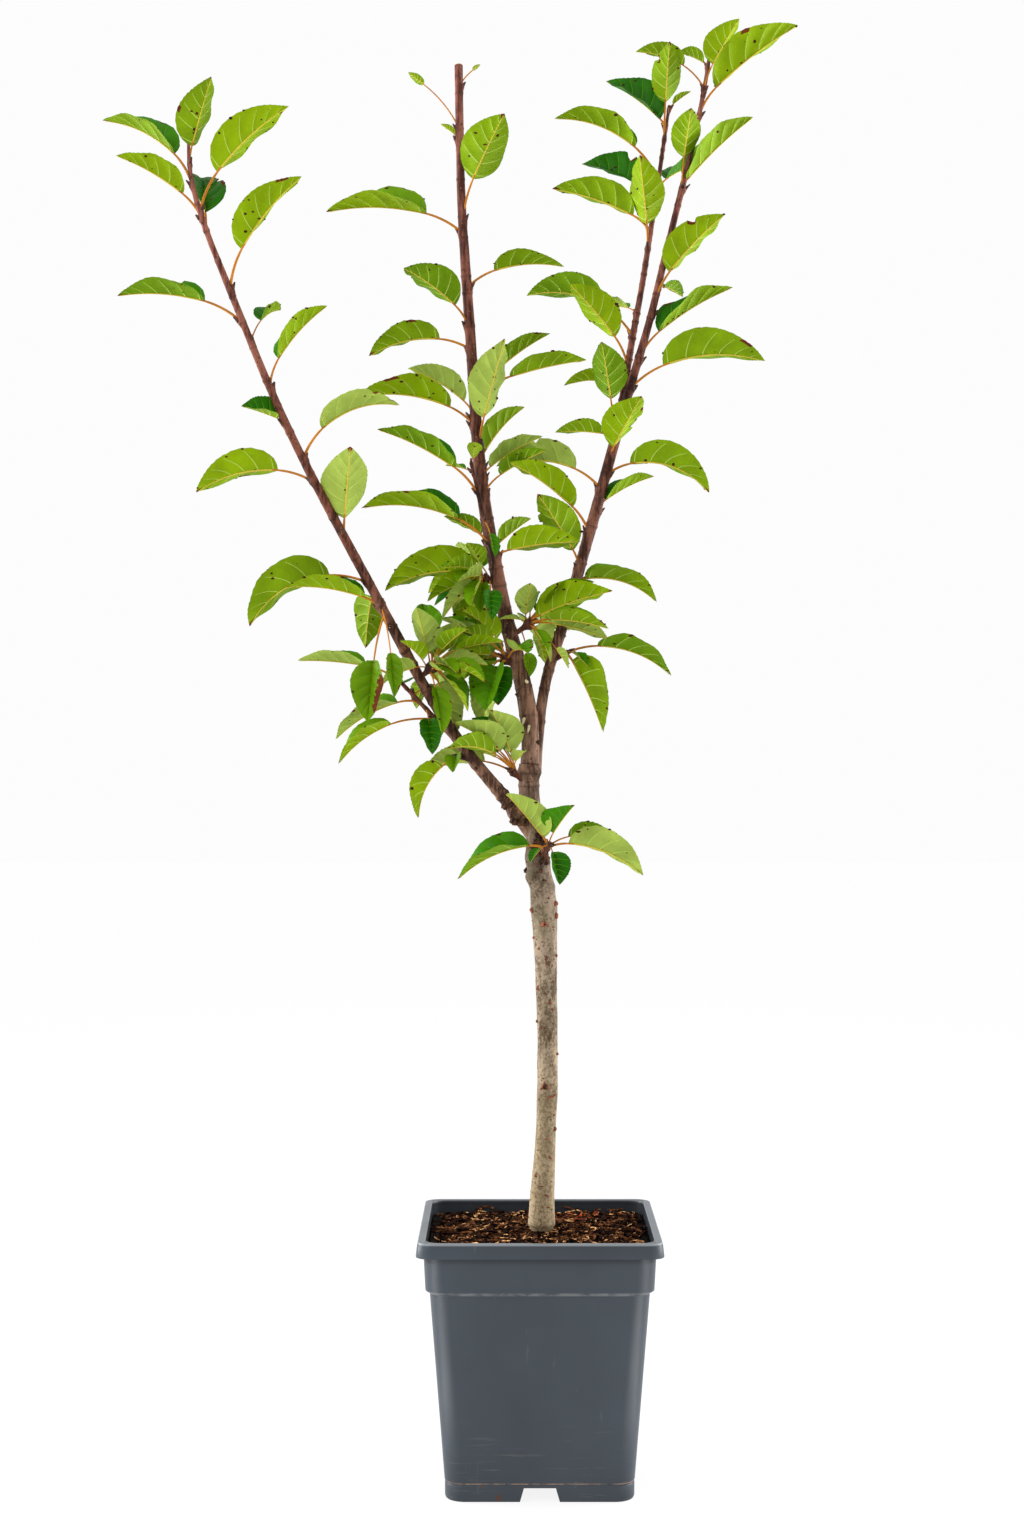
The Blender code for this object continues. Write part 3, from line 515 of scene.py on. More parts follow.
# %% Pot sizes
POT_HEIGHT = 202 * MM
RIM_WIDTH = 190 * MM
RIM_DEPTH = 11.5 * MM
RIM_TOP = 7.5 * MM
RIM_WALL = 3.2 * MM
RIM_CORNER = 12 * MM
LIP_FLARE = 1.4 * MM  # how much narrower the lip is at its top, each side
BAND_TOP_WIDTH = 179.5 * MM
BAND_FOOT_WIDTH = 175.7 * MM
BAND_FOOT = 163 * MM
STEP_HEIGHT = 2 * MM
BODY_TOP_WIDTH = 169.3 * MM
BODY_FOOT_WIDTH = 147 * MM
BODY_CORNER = 15 * MM
WALL = 2 * MM
SKIRT_HEIGHT = 14.5 * MM
SKIRT_WIDTH = 145.5 * MM
PARTING_DEPTH = 0.6 * MM
FLOOR_UNDERSIDE = 13 * MM
NOTCH_HEIGHT = 11 * MM
NOTCH_FOOT_WIDTH = 31.4 * MM
NOTCH_TOP_WIDTH = 24.5 * MM
PAD_WIDTH = 34 * MM  # the pad in the middle of the floor, which comes down to the ground
PAD_CORNER = 8 * MM
CORNER_STEPS = 14
CLEAR = 0.3 * MM
print("pot", RIM_WIDTH, "wide and", POT_HEIGHT, "high")


# %% Pot profile with rounded edges
def rounded_square(width, corner, height):
    """A level ring of points, anticlockwise from above."""
    ring = []
    inset = width / 2 - corner
    for quarter in range(4):
        middle = math.pi / 4 + quarter * math.pi / 2
        for step in range(CORNER_STEPS + 1):
            angle = quarter * math.pi / 2 + step * math.pi / 2 / CORNER_STEPS
            ring.append((
                math.copysign(inset, math.cos(middle)) + corner * math.cos(angle),
                math.copysign(inset, math.sin(middle)) + corner * math.sin(angle),
                height,
            ))
    return ring


def filleted(profile, reach):
    """The profile (half width, corner, height) with each turn rounded by three points."""
    eased_rows = [profile[0]]
    for before, here, after in zip(profile, profile[1:], profile[2:]):
        before, here, after = (np.array(row) for row in (before, here, after))
        spans = [np.linalg.norm((row - here)[[0, 2]]) for row in (before, after)]
        size = min(reach, 0.45 * min(spans))
        enter = here + (before - here) * size / spans[0]
        leave = here + (after - here) * size / spans[1]
        eased_rows += [enter, (enter + leave) / 4 + here / 2, leave]
    return eased_rows + [profile[-1]]


def pot_profile():
    """Half width, corner radius and height, up the outside and down the inside."""
    lip_foot = POT_HEIGHT - RIM_DEPTH
    corner, inner = BODY_CORNER, BODY_CORNER - WALL
    skirt = SKIRT_WIDTH / 2
    rows = [
        (PAD_WIDTH / 2, PAD_CORNER, 0), (PAD_WIDTH / 2, PAD_CORNER, FLOOR_UNDERSIDE),
        (skirt - WALL, inner, FLOOR_UNDERSIDE), (skirt - WALL, inner, 0),
        (skirt - 0.4 * MM, corner, 0), (skirt + 0.5 * MM, corner, 2.2 * MM),
        (skirt + 0.5 * MM, corner, SKIRT_HEIGHT - 2 * MM),
        (skirt + 0.5 * MM - PARTING_DEPTH, corner, SKIRT_HEIGHT - 1.4 * MM),
        (BODY_FOOT_WIDTH / 2, corner, SKIRT_HEIGHT),
        (BODY_TOP_WIDTH / 2, corner, BAND_FOOT - STEP_HEIGHT),
        (BAND_FOOT_WIDTH / 2, corner, BAND_FOOT),
        (BAND_TOP_WIDTH / 2, corner, POT_HEIGHT - 2.2 * MM),
        (RIM_WIDTH / 2 - RIM_WALL, RIM_CORNER, POT_HEIGHT - 2.2 * MM),
        (RIM_WIDTH / 2 - RIM_WALL, RIM_CORNER, lip_foot),
        (RIM_WIDTH / 2, RIM_CORNER, lip_foot),
        (RIM_WIDTH / 2 - LIP_FLARE, RIM_CORNER, POT_HEIGHT),
        (RIM_WIDTH / 2 - RIM_TOP, inner, POT_HEIGHT),
        (BAND_TOP_WIDTH / 2 - WALL, inner, POT_HEIGHT - 4 * MM),
        (BAND_FOOT_WIDTH / 2 - WALL, inner, BAND_FOOT + MM),
        (BODY_TOP_WIDTH / 2 - WALL, inner, BAND_FOOT - STEP_HEIGHT - MM),
        (BODY_FOOT_WIDTH / 2 - WALL, inner, FLOOR_UNDERSIDE + WALL),
    ]
    return filleted(rows, 0.9 * MM)


print("profile rows:", len(pot_profile()))


# %% Make the pot
def notch_wedge(quarter):
    """A short wedge through one side of the foot."""
    low, high = NOTCH_FOOT_WIDTH / 2, NOTCH_TOP_WIDTH / 2
    section = [(-low, -MM), (low, -MM), (high, NOTCH_HEIGHT), (-high, NOTCH_HEIGHT)]
    turn = quarter * math.pi / 2
    c, s = round(math.cos(turn)), round(math.sin(turn))
    skin = Skin()
    skin.rings([
        [(c * x - s * y, s * x + c * y, up) for x, up in section]
        for y in (SKIRT_WIDTH, SKIRT_WIDTH / 2 - 3 * WALL)
    ])
    return skin.piece("wedge", [])


def worked_mesh(piece):
    """The plain mesh of a piece with its modifier applied."""
    bpy.context.view_layer.update()
    graph = bpy.context.evaluated_depsgraph_get()
    return bpy.data.meshes.new_from_object(piece.evaluated_get(graph))


def cut(piece, cutter):
    modifier = piece.modifiers.new("cut", "BOOLEAN")
    modifier.object, modifier.solver = cutter, "EXACT"
    done = worked_mesh(piece)
    piece.modifiers.remove(modifier)
    piece.data = done
    bpy.data.objects.remove(cutter)


pot_skin = Skin()
pot_skin.rings([rounded_square(2 * half, corner, height) for half, corner, height in pot_profile()])
pot = pot_skin.piece("pot_moulding", [PLASTIC], sharp=40)
for quarter in range(4):
    cut(pot, notch_wedge(quarter))
pot.data.set_sharp_from_angle(angle=math.radians(40))
finish_piece(pot, "pot_plastic", "pot")
print("pot faces after the notches:", len(pot.data.polygons))


# %% [markdown]
# ## The compost
# The compost lies a little under the rim and is never quite level. We make it as a fine grid
# under the mouth of the pot, lifted by noise, with a skirt down to the pot's floor so that
# it stays a closed solid.

# %% Make the compost
COMPOST_TOP = 193.5 * MM
COMPOST_ROWS = 70


def ground_height(x, y):
    """The height of the compost over a point."""
    broad = noise.noise(Vector((x, y, 0)) * 32) * 2.6 * MM
    lumps = noise.noise(Vector((x, y, 3)) * 150) * 1.5 * MM
    return COMPOST_TOP - 1.6 * MM + broad + lumps


def make_ground():
    corner = BODY_CORNER - WALL - CLEAR
    width = BAND_FOOT_WIDTH - 2 * (WALL + CLEAR)
    foot_width = BODY_FOOT_WIDTH - 2 * (WALL + CLEAR)
    rings = [
        rounded_square(foot_width, corner, FLOOR_UNDERSIDE + WALL + CLEAR),
        rounded_square(BODY_TOP_WIDTH - 2 * (WALL + CLEAR), corner, BAND_FOOT - STEP_HEIGHT - MM),
        rounded_square(width, corner, BAND_FOOT + MM + CLEAR),
    ]
    edge = rounded_square(width + 1.2 * MM, corner, COMPOST_TOP)
    for ring in range(COMPOST_ROWS):
        share = 1 - ring / COMPOST_ROWS
        rings.append([
            (x * share, y * share, ground_height(x * share, y * share)) for x, y, z in edge
        ])
    skin = Skin()
    skin.rings(rings)
    return skin.piece("compost_ground", [GROUND], sharp=180)


finish_piece(make_ground(), "compost", "compost")

# %% [markdown]
# ## Loose bits, with Geometry Nodes
# Thousands of chips and fibres can't be placed by hand. A Geometry Nodes tree does it: it
# scatters points over the ground, puts one small form on each, and turns and scales every
# copy at random from a fixed seed. The export keeps only real faces, so each tree ends by
# realising its copies. One helper runs a tree on a base and keeps the result as plain mesh.

# %% Helpers for Geometry Nodes
class Growth(Sheet):
    """A Geometry Nodes tree with named inputs."""

    KINDS = {float: "NodeSocketFloat", int: "NodeSocketInt"}

    def __init__(self, name, inputs):
        super().__init__(bpy.data.node_groups.new(name, "GeometryNodeTree"))
        face = self.tree.interface
        face.new_socket("Geometry", in_out="INPUT", socket_type="NodeSocketGeometry")
        for label, value in inputs.items():
            kind = self.KINDS[type(value)]
            face.new_socket(label, in_out="INPUT", socket_type=kind).default_value = value
        face.new_socket("Geometry", in_out="OUTPUT", socket_type="NodeSocketGeometry")
        self.start = self.tree.nodes.new("NodeGroupInput")
        self.stop = self.tree.nodes.new("NodeGroupOutput")

    def given(self, label):
        return Value(self, self.start.outputs[label])

    def random_vector(self, low, high, seed):
        inputs = {"Min": low, "Max": high, "Seed": seed}
        return self.node("FunctionNodeRandomValue", {"data_type": "FLOAT_VECTOR"}, inputs)

    def random_number(self, low, high, seed):
        inputs = {2: low, 3: high, "Seed": seed}
        return self.node("FunctionNodeRandomValue", {"data_type": "FLOAT"}, inputs, output=1)

    def strewn(self, density):
        """Points strewn over the faces of the base."""
        return self.node("GeometryNodeDistributePointsOnFaces", None, {
            "Mesh": self.given("Geometry"), "Density": density, "Seed": self.given("Seed"),
        })

    def flat_on(self, points):
        """The turn that lays a form flat on the base at each of its points."""
        return Value(self, points.socket.node.outputs["Rotation"])

    def scaled(self, vector, factor):
        inputs = {0: vector, "Scale": factor}
        return self.node("ShaderNodeVectorMath", {"operation": "SCALE"}, inputs)

    def copied(self, form, points, rotation, scale, finish):
        """Puts a copy of a form on each point, realises the copies and gives them a finish."""
        copies = self.node("GeometryNodeInstanceOnPoints", None, {
            "Points": points, "Instance": form, "Rotation": rotation, "Scale": scale,
        })
        real = self.node("GeometryNodeRealizeInstances", None, {0: copies})
        done = self.node("GeometryNodeSetMaterial", None, {"Geometry": real, "Material": finish})
        self.tree.links.new(done.socket, self.stop.inputs[0])
        return self


def run_tree(name, growth, base_mesh, values, smooth=True):
    """The plain mesh that a tree makes of a base, as an object of the scene."""
    base = placed("base", base_mesh)
    modifier = base.modifiers.new(name, "NODES")
    modifier.node_group = growth.tree
    for item in growth.tree.interface.items_tree:
        if item.in_out == "INPUT" and item.name in values:
            modifier[item.identifier] = values[item.name]
    mesh = worked_mesh(base)
    bpy.data.objects.remove(base)
    mesh.name = name
    (mesh.shade_smooth if smooth else mesh.shade_flat)()
    print(f"{name}: {len(mesh.polygons)} faces from {growth.tree.name}")
    return placed(name, mesh)


# %% Scatter chips and fibres over the compost
def scatter_chips(finish):
    """Flat, broken chips of bark, laid at any angle."""
    growth = Growth("chips", {"Number": 9000.0, "Length": 0.006, "Seed": 1})
    seed = growth.given("Seed")
    points = growth.strewn(growth.given("Number"))
    chip = growth.node("GeometryNodeMeshIcoSphere", None, {"Radius": 0.5, "Subdivisions": 1})
    shape = growth.random_vector((0.5, 0.2, 0.1), (1.2, 0.55, 0.24), seed + 1)
    turned = growth.random_vector((-0.7, -0.5, 0), (0.7, 0.5, 6.28), seed + 2)
    return growth.copied(chip, points, turned, growth.scaled(shape, growth.given("Length")), finish)


def scatter_fibres(finish):
    """Curled threads of bark fibre."""
    growth = Growth("fibres", {"Number": 6000.0, "Curl": 0.005, "Girth": 0.00045, "Seed": 1})
    seed = growth.given("Seed")
    points = growth.strewn(growth.given("Number"))
    arc = growth.node("GeometryNodeCurveArc", None, {
        "Resolution": 6, "Radius": growth.given("Curl"), "Sweep Angle": 2.2,
    })
    section = growth.node("GeometryNodeCurvePrimitiveCircle", None, {
        "Resolution": 4, "Radius": growth.given("Girth"),
    })
    fibre = growth.node("GeometryNodeCurveToMesh", None, {
        "Curve": arc, "Profile Curve": section, "Fill Caps": True,
    })
    shape = growth.random_vector((0.4, 0.4, 0.7), (1.3, 1.3, 1.3), seed + 1)
    turned = growth.random_vector((-0.35, -0.35, 0), (0.35, 0.35, 6.28), seed + 2)
    return growth.copied(fibre, points, turned, shape, finish)


def patch(width, depth, rise, middle=(0, 0)):
    """An open sheet over part of the compost, for a tree to scatter on."""
    steps = 30
    points, faces = [], []
    for row in range(steps + 1):
        for column in range(steps + 1):
            x = middle[0] + width * (column / steps - 0.5)
            y = middle[1] + depth * (row / steps - 0.5)
            points.append((x, y, ground_height(x, y) + rise))
            if row < steps and column < steps:
                corner = row * (steps + 1) + column
                faces.append((corner, corner + 1, corner + steps + 2, corner + steps + 1))
    mesh = bpy.data.meshes.new("patch")
    mesh.from_pydata(points, [], faces)
    return mesh


LOOSE = (158 * MM, 158 * MM)  # where bits are strewn: width and depth
RED_PATCH = (70 * MM, 26 * MM)
RED_MIDDLE = (40 * MM, 58 * MM)


def strew(name, growth, sheet, **values):
    finish_piece(run_tree(name, growth, sheet, values, smooth=False), "compost", "compost")


for name, finish, rise, number, length, seed in (
    ("dark_chips", DARK_BIT, -1, 26000.0, 0.0125, 3),
    ("brown_chips", WARM_BIT, 0, 14000.0, 0.0095, 15),
    ("tan_chips", TAN_BIT, 0.8, 8000.0, 0.0036, 9),
):
    sheet = patch(*LOOSE, rise * MM)
    strew(name, scatter_chips(finish), sheet, Number=number, Length=length, Seed=seed)
for name, finish, rise, number, curl, girth, seed in (
    ("tan_fibres", TAN_BIT, 1.2, 14000.0, 0.005, 0.00045, 5),
    ("brown_fibres", WARM_BIT, 0.8, 20000.0, 0.0078, 0.00085, 18),
    ("dark_fibres", DARK_BIT, 0.4, 16000.0, 0.0085, 0.0013, 12),
):
    sheet = patch(*LOOSE, rise * MM)
    strew(name, scatter_fibres(finish), sheet, Number=number, Curl=curl, Girth=girth, Seed=seed)
sheet = patch(*RED_PATCH, 1.4 * MM, RED_MIDDLE)
strew("red_chips", scatter_chips(RED_BIT), sheet, Number=19000.0, Length=0.008, Seed=4)


# %% [markdown]
# ## The lines of the tree
# The trunk and every limb are a line and a girth. A limb climbs to a height while it leans
# sideways and backwards, and each lean, like each diameter, is a short list read at even
# stages of the climb. These are the same sizes that the solid parts were built from, so the
# fine bark lies exactly over them.

# %% Trunk and limbs
TRUNK_FOOT = (2.3 * MM, 0.0)
TRUNK_TOP = 566 * MM
TRUNK_SIDE = (0, 4, 1.8, 0, -1.5, -1.5, -6, -11, 5)
TRUNK_BACK = (0, 0, 1, 1, 0, -1, 0, 1, 1)
TRUNK_GIRTH = (22.5, 19.2, 17.2, 16, 16.2, 16.4, 16.6, 17, 18.5, 21.5, 17, 15.6, 16, 17)
LEFT_START = (-5 * MM, 1 * MM, 510 * MM)
LEFT_CLIMB = 526 * MM
LEFT_SIDE = (-35, -41, -33, -28, -27.5, -28.5, -28, -25.5, -22.5, -21.5, -22, -17, 2)
LEFT_BACK = (-12, -12, -11, -11, -11, -11, -11, -10, -10, -10, -10, -8, -6)
LEFT_GIRTH = (12, 10, 8.8, 8.4, 7.9, 7.4, 6.8, 6.3, 5.9, 5.4, 4.9, 4, 2.4)
CENTRE_SIDE = (5, -10, -16, -10.5, -10.5, -6, -3.5, -4, -4, -4, -1.5, -1, -1)
CENTRE_BACK = (1, 3, 3, 3, 3, 3, 3, 3, 2, 2, 2, 2, 2)
CENTRE_TOP = 1132 * MM
CENTRE_GIRTH = (14.8, 14.4, 12.6, 11.4, 10.6, 10, 9.4, 8.8, 8.2, 7.4, 6.7, 6.6, 6.6)
RIGHT_START = (-2.5 * MM, 4 * MM, 561 * MM)
RIGHT_CLIMB = 582 * MM
RIGHT_SIDE = (3, 7, 19, 15.5, 16, 15, 16, 17, 13, 14, 14, 12, 8)
RIGHT_BACK = (4, 4, 5, 5, 5, 5, 4, 3, 2, 2, 2, 2, 2)
RIGHT_GIRTH = (9.5, 8.6, 8.8, 9, 9.2, 9, 8, 6.4, 5.6, 5.3, 4.8, 4, 2.9)
INNER_SHARE = 0.485
INNER_CLIMB = 266 * MM
INNER_SIDE = (7, 9, 11, 9, 9, 8, 9)
INNER_BACK = (10, 9, 8, 7, 6, 5, 5)
INNER_GIRTH = (7, 5.6, 5, 4.6, 4, 3.4, 2.4)


def eased(stages, share):
    """The value at a share of the way through evenly spaced stages."""
    place = min(max(share, 0.0), 1.0) * (len(stages) - 1)
    low = min(int(place), len(stages) - 2)
    return stages[low] + (stages[low + 1] - stages[low]) * (place - low)


class Limb:
    """The line and girth of a trunk, bough, shoot or twig, all shares being of its climb."""

    STEPS = 48

    def __init__(self, start, climb, side, back, girth):
        self.girth = girth
        self.points = [Vector(start)]
        for step in range(self.STEPS):
            share = (step + 0.5) / self.STEPS
            slope = Vector((
                math.tan(math.radians(eased(side, share))),
                math.tan(math.radians(eased(back, share))),
                1.0,
            ))
            self.points.append(self.points[-1] + slope * climb / self.STEPS)

    def at(self, share):
        place = min(max(share, 0.0), 1.0) * self.STEPS
        low = min(int(place), self.STEPS - 1)
        return self.points[low].lerp(self.points[low + 1], place - low)

    def heading(self, share):
        reach = 1.0 / self.STEPS
        return (self.at(share + reach) - self.at(share - reach)).normalized()

    def radius(self, share):
        return eased(self.girth, share) * MM / 2

    def length(self):
        return sum((b - a).length for a, b in zip(self.points, self.points[1:]))


def limbs():
    foot = COMPOST_TOP + CLEAR
    trunk = Limb((*TRUNK_FOOT, foot), TRUNK_TOP - foot, TRUNK_SIDE, TRUNK_BACK, TRUNK_GIRTH)
    top = trunk.at(1.0)
    centre = Limb(
        top + Vector((0, 0, CLEAR)), CENTRE_TOP - top.z, CENTRE_SIDE, CENTRE_BACK, CENTRE_GIRTH
    )
    left = Limb(LEFT_START, LEFT_CLIMB, LEFT_SIDE, LEFT_BACK, LEFT_GIRTH)
    right = Limb(RIGHT_START, RIGHT_CLIMB, RIGHT_SIDE, RIGHT_BACK, RIGHT_GIRTH)
    inner = Limb(right.at(INNER_SHARE), INNER_CLIMB, INNER_SIDE, INNER_BACK, INNER_GIRTH)
    return {"trunk": trunk, "left": left, "centre": centre, "right": right, "inner": inner}


def spur(parent, share, length, bearing, rise, girth=(4.2, 3.4, 2.6)):
    """A side twig, from the line of its limb: its length outside the limb in millimetres, the
    way it points and how steeply it rises."""
    length += parent.radius(share) / MM
    turn = math.radians(bearing)
    slope = math.tan(math.radians(90 - rise))
    side = math.degrees(math.atan(slope * math.cos(turn)))
    back = math.degrees(math.atan(slope * math.sin(turn)))
    climb = length * MM * math.sin(math.radians(rise))
    return Limb(parent.at(share), climb, (side, side), (back, back), girth)


LINES = limbs()
trunk, left, centre, right, inner = LINES.values()
TWIGS = {
    "left_twig": spur(left, 0.125, 74, 192, 46, (5, 3.8, 2.6)),
    "left_inner": spur(left, 0.235, 12, 330, 40),
    "left_spur": spur(left, 0.11, 9, 200, 20),
    "centre_twig": spur(centre, 0.262, 90, 220, 73, (4.4, 3.4, 2.4)),
    "centre_left_spur": spur(centre, 0.252, 10, 188, 30),
    "centre_low_spur": spur(centre, 0.13, 12, 200, 40),
    "centre_right_spur": spur(centre, 0.18, 14, 345, 35),
    "fork_spur": spur(trunk, 0.95, 13, 215, 40),
    "trunk_spur": spur(trunk, 0.8, 20, 290, 25, (5.4, 4.4, 3.4)),
    "right_spur": spur(right, 0.15, 12, 340, 30),
}
print("limb lengths:", {name: round(line.length(), 3) for name, line in LINES.items()})


# %% [markdown]
# ## What grows where
# A leaf is one row of numbers: how far up its limb it sits, the way it points, how steeply
# its blade leaves the stalk and how far that bends down again, its length, its stalk, its
# roll and its breadth. Each leafy part of the tree has its own short list. Bearings are
# counted from +X (0) through +Y (90), so a leaf at 270 points at the front.

# %% Leaf rows
def leaf(share, bearing, lift, droop, blade, stalk=30, roll=12, wide=1.0):
    """One leaf, with its angles in degrees and its blade and stalk in millimetres."""
    return share, bearing, lift, droop, blade * MM, stalk * MM, roll, wide


def leaves(*rows):
    """Leaves from plain rows, whose last numbers may be left out."""
    return [leaf(*row) for row in rows]


LEFT_TOP = leaves(
    (0.555, 352, 43, 56, 66, 28), (0.605, 200, 20, 10, 30, 8, -35, 1.9),
    (0.657, 12, 60, 24, 57, 24, 20), (0.722, 62, 42, 30, 32, 24, 12, 1.3),
    (0.748, 188, 14, 27, 67, 34, 6), (0.794, 350, 57, 24, 72, 33, 18),
    (0.88, 100, 50, 20, 58, 16, 12, 1.2), (0.892, 197, 38, 22, 57, 25),
    (0.904, 350, 53, 24, 74, 33, 16), (0.94, 165, 46, 38, 68, 30, -14),
    (0.97, 310, 62, 6, 54, 14, 0, 1.2),
)
LEFT_LOW = leaves(
    (0.336, 190, 20, 26, 62, 18), (0.332, 250, -74, 6, 50, 46, 0, 1.25),
    (0.345, 292, -72, 8, 36, 46, 0, 0.9), (0.362, 104, -28, 40, 50, 12, 12, 1.2),
    (0.375, 183, -4, 62, 78, 32, 4), (0.444, 280, 60, 4, 60, 14, 0, 1.4),
    (0.521, 178, 3, 40, 68, 31, 6),
)
LEFT_TWIG = leaves(
    (0.45, 200, -20, 34, 54, 38), (0.7, 184, -12, 32, 58, 17), (0.8, 20, 10, 30, 18, 10),
    (0.98, 182, 10, 14, 54, 30),
)
LEFT_INNER = leaves(
    (0.6, 350, 10, 28, 38, 12), (0.68, 300, -68, 10, 40, 18), (0.76, 250, 58, 8, 44, 12, 0, 1.2),
    (0.82, 22, 44, 30, 34, 10, 12, 1.2), (0.9, 70, 34, 30, 36, 12, 12, 1.2),
    (0.94, 308, 30, 16, 38, 16, 0), (0.97, 332, -12, 20, 34, 18, 12, 1.3),
)
LEFT_SPUR = leaves(
    (0.85, 202, -36, 52, 48, 17, 12, 1.15), (0.95, 262, -16, 30, 24, 18, 12, 1.4),
)
print("leaves on the left limb:", sum(map(len, (
    LEFT_TOP, LEFT_LOW, LEFT_TWIG, LEFT_INNER, LEFT_SPUR,
))))

# %% Leaf rows of the centre limb
CENTRE_UPPER = leaves(
    (0.478, 181, 25, 38, 76, 27), (0.49, 172, 42, 26, 54, 18), (0.51, 8, 44, 16, 50, 37),
    (0.52, 345, 18, 12, 64, 34), (0.59, 183, 8, 38, 60, 27, 4),
    (0.621, 214, 37, 20, 54, 22, 16, 1.3), (0.679, 354, 16, 32, 58, 26, 4),
    (0.757, 180, 17, 28, 82, 34, -4), (0.772, 318, 58, 8, 58, 36, 0, 1.45),
    (0.89, 190, 40, 10, 14, 7), (0.907, 184, 38, 0, 16, 47, 60), (0.968, 0, 40, 0, 8, 18, 50),
)
CENTRE_LOW = leaves(
    (0.3, 40, 40, 10, 40, 10), (0.293, 350, 14, 14, 60, 12), (0.383, 332, 28, 14, 46, 22),
    (0.405, 342, 38, 20, 50, 12), (0.42, 24, 60, 26, 54, 14), (0.44, 292, 58, 4, 70, 30, 0, 1.05),
)
CENTRE_TWIG = leaves(
    (0.29, 181, 27, 40, 80, 33, 4), (0.5, 300, -62, 6, 22, 14), (0.72, 196, 31, 20, 70, 29, 4),
    (0.9, 160, 20, 16, 18, 8), (0.98, 280, 30, 10, 22, 6, 12, 1.3),
)
CENTRE_LEFT_SPUR = leaves(
    (0.62, 182, 14, 48, 78, 10, 0), (0.72, 236, -4, 20, 34, 10, 12, 1.4),
    (0.84, 196, -12, 24, 46, 6), (0.9, 216, -34, 14, 46, 12), (0.95, 150, 0, 30, 46, 12),
)
CENTRE_LOW_SPUR = leaves(
    (0.65, 172, 30, 14, 50, 20, -10), (0.72, 206, 6, 16, 44, 16),
    (0.8, 250, -34, 30, 46, 24, 12, 1.5), (0.86, 196, 50, 30, 38, 18, 12, 1.2),
    (0.9, 138, 8, 24, 44, 12, 12, 1.2), (0.93, 186, -14, 20, 36, 14, 12, 1.3),
    (0.95, 214, -44, 20, 36, 12, 12, 1.2),
)
CENTRE_RIGHT_SPUR = leaves(
    (0.62, 338, 22, 14, 68, 14), (0.7, 326, -2, 18, 58, 22), (0.78, 340, -10, 16, 50, 18, 12, 0.9),
    (0.85, 300, -40, 10, 26, 12), (0.92, 48, 24, 20, 36, 14, 12, 1.2), (0.98, 320, -60, 10, 24, 16),
)
print("leaves on the centre limb:", sum(map(len, (
    CENTRE_UPPER, CENTRE_LOW, CENTRE_TWIG, CENTRE_LEFT_SPUR, CENTRE_LOW_SPUR, CENTRE_RIGHT_SPUR,
))))

# %% Leaf rows of the trunk and the right limb
FORK_SPUR = leaves(
    (0.75, 188, 10, 30, 50, 28), (0.85, 208, 36, 20, 48, 22, 12, 1.4),
    (0.9, 232, 58, 20, 44, 16, 12, 1.4), (0.95, 150, 24, 30, 34, 20, 12, 1.2),
)
TRUNK_SPUR = leaves(
    (0.66, 192, -7, 40, 65, 14, 4), (0.7, 350, -2, 40, 66, 18, 4), (0.72, 20, 12, 40, 42, 20),
    (0.8, 212, 50, 8, 50, 8, 12, 1.3), (0.86, 302, 44, 10, 36, 12, 0, 1.7),
    (0.92, 300, -60, 14, 28, 8, 12, 1.6), (0.97, 226, -34, 14, 15, 12, 12, 1.5),
)
RIGHT_LOW = leaves(
    (0.26, 0, 8, 56, 64, 8), (0.279, 214, 52, 8, 56, 16, 12, 1.2), (0.329, 195, 40, 20, 66, 26, 20),
    (0.357, 12, 40, 22, 46, 14), (0.39, 181, 22, 46, 66, 27), (0.41, 356, 10, 64, 72, 22),
    (0.43, 302, 44, 8, 54, 12, 12, 1.3), (0.462, 181, 12, 16, 40, 10),
    (0.455, 252, 62, 8, 50, 36, 0, 1.3),
)
RIGHT_SPUR = leaves(
    (0.62, 0, 4, 46, 66, 30, 6), (0.85, 322, -52, 14, 66, 9, 0, 1.45), (0.95, 300, -20, 10, 24, 12),
)
OUTER = leaves(
    (0.53, 354, 20, 40, 84, 34, 4), (0.569, 8, 40, 20, 72, 31, 4),
    (0.635, 350, 50, 16, 64, 38, 22, 1.1), (0.672, 58, 6, 20, 34, 12), (0.81, 6, 48, 14, 76, 10),
    (0.812, 288, 54, 8, 43, 26, 0, 1.25), (0.915, 3, 47, 16, 86, 28, 22),
    (0.955, 170, 38, 34, 42, 26), (0.95, 318, 48, 8, 42, 23, 0, 1.4),
    (0.985, 150, 34, 20, 26, 6, 12, 1.3),
)
INNER = leaves(
    (0.11, 192, 6, 26, 36, 16), (0.175, 212, 50, 12, 58, 26, 20, 1.15), (0.27, 164, 34, 44, 66, 38),
    (0.34, 130, 16, 20, 34, 12), (0.545, 254, 63, 6, 57, 20, 0, 1.25), (0.6, 174, 33, 20, 72, 20),
    (0.7, 156, 30, 20, 56, 20, -42, 1.3), (0.72, 48, 34, 20, 46, 20), (0.76, 186, 38, 46, 72, 34),
    (0.925, 154, 46, 20, 62, 10, -40, 1.15), (0.89, 272, 58, 6, 50, 30, 0, 1.15),
    (0.985, 350, 40, 10, 18, 6),
)
print("leaves on the right limb:", sum(map(len, (RIGHT_LOW, RIGHT_SPUR, OUTER, INNER))))

# %% [markdown]
# The middle of the tree is its fullest part: small crumpled leaves crowd round the short
# spurs where three limbs come close. The solid parts only block that crowd out. Here it is
# carried finer, with more leaves on the same spurs and within the same reach.

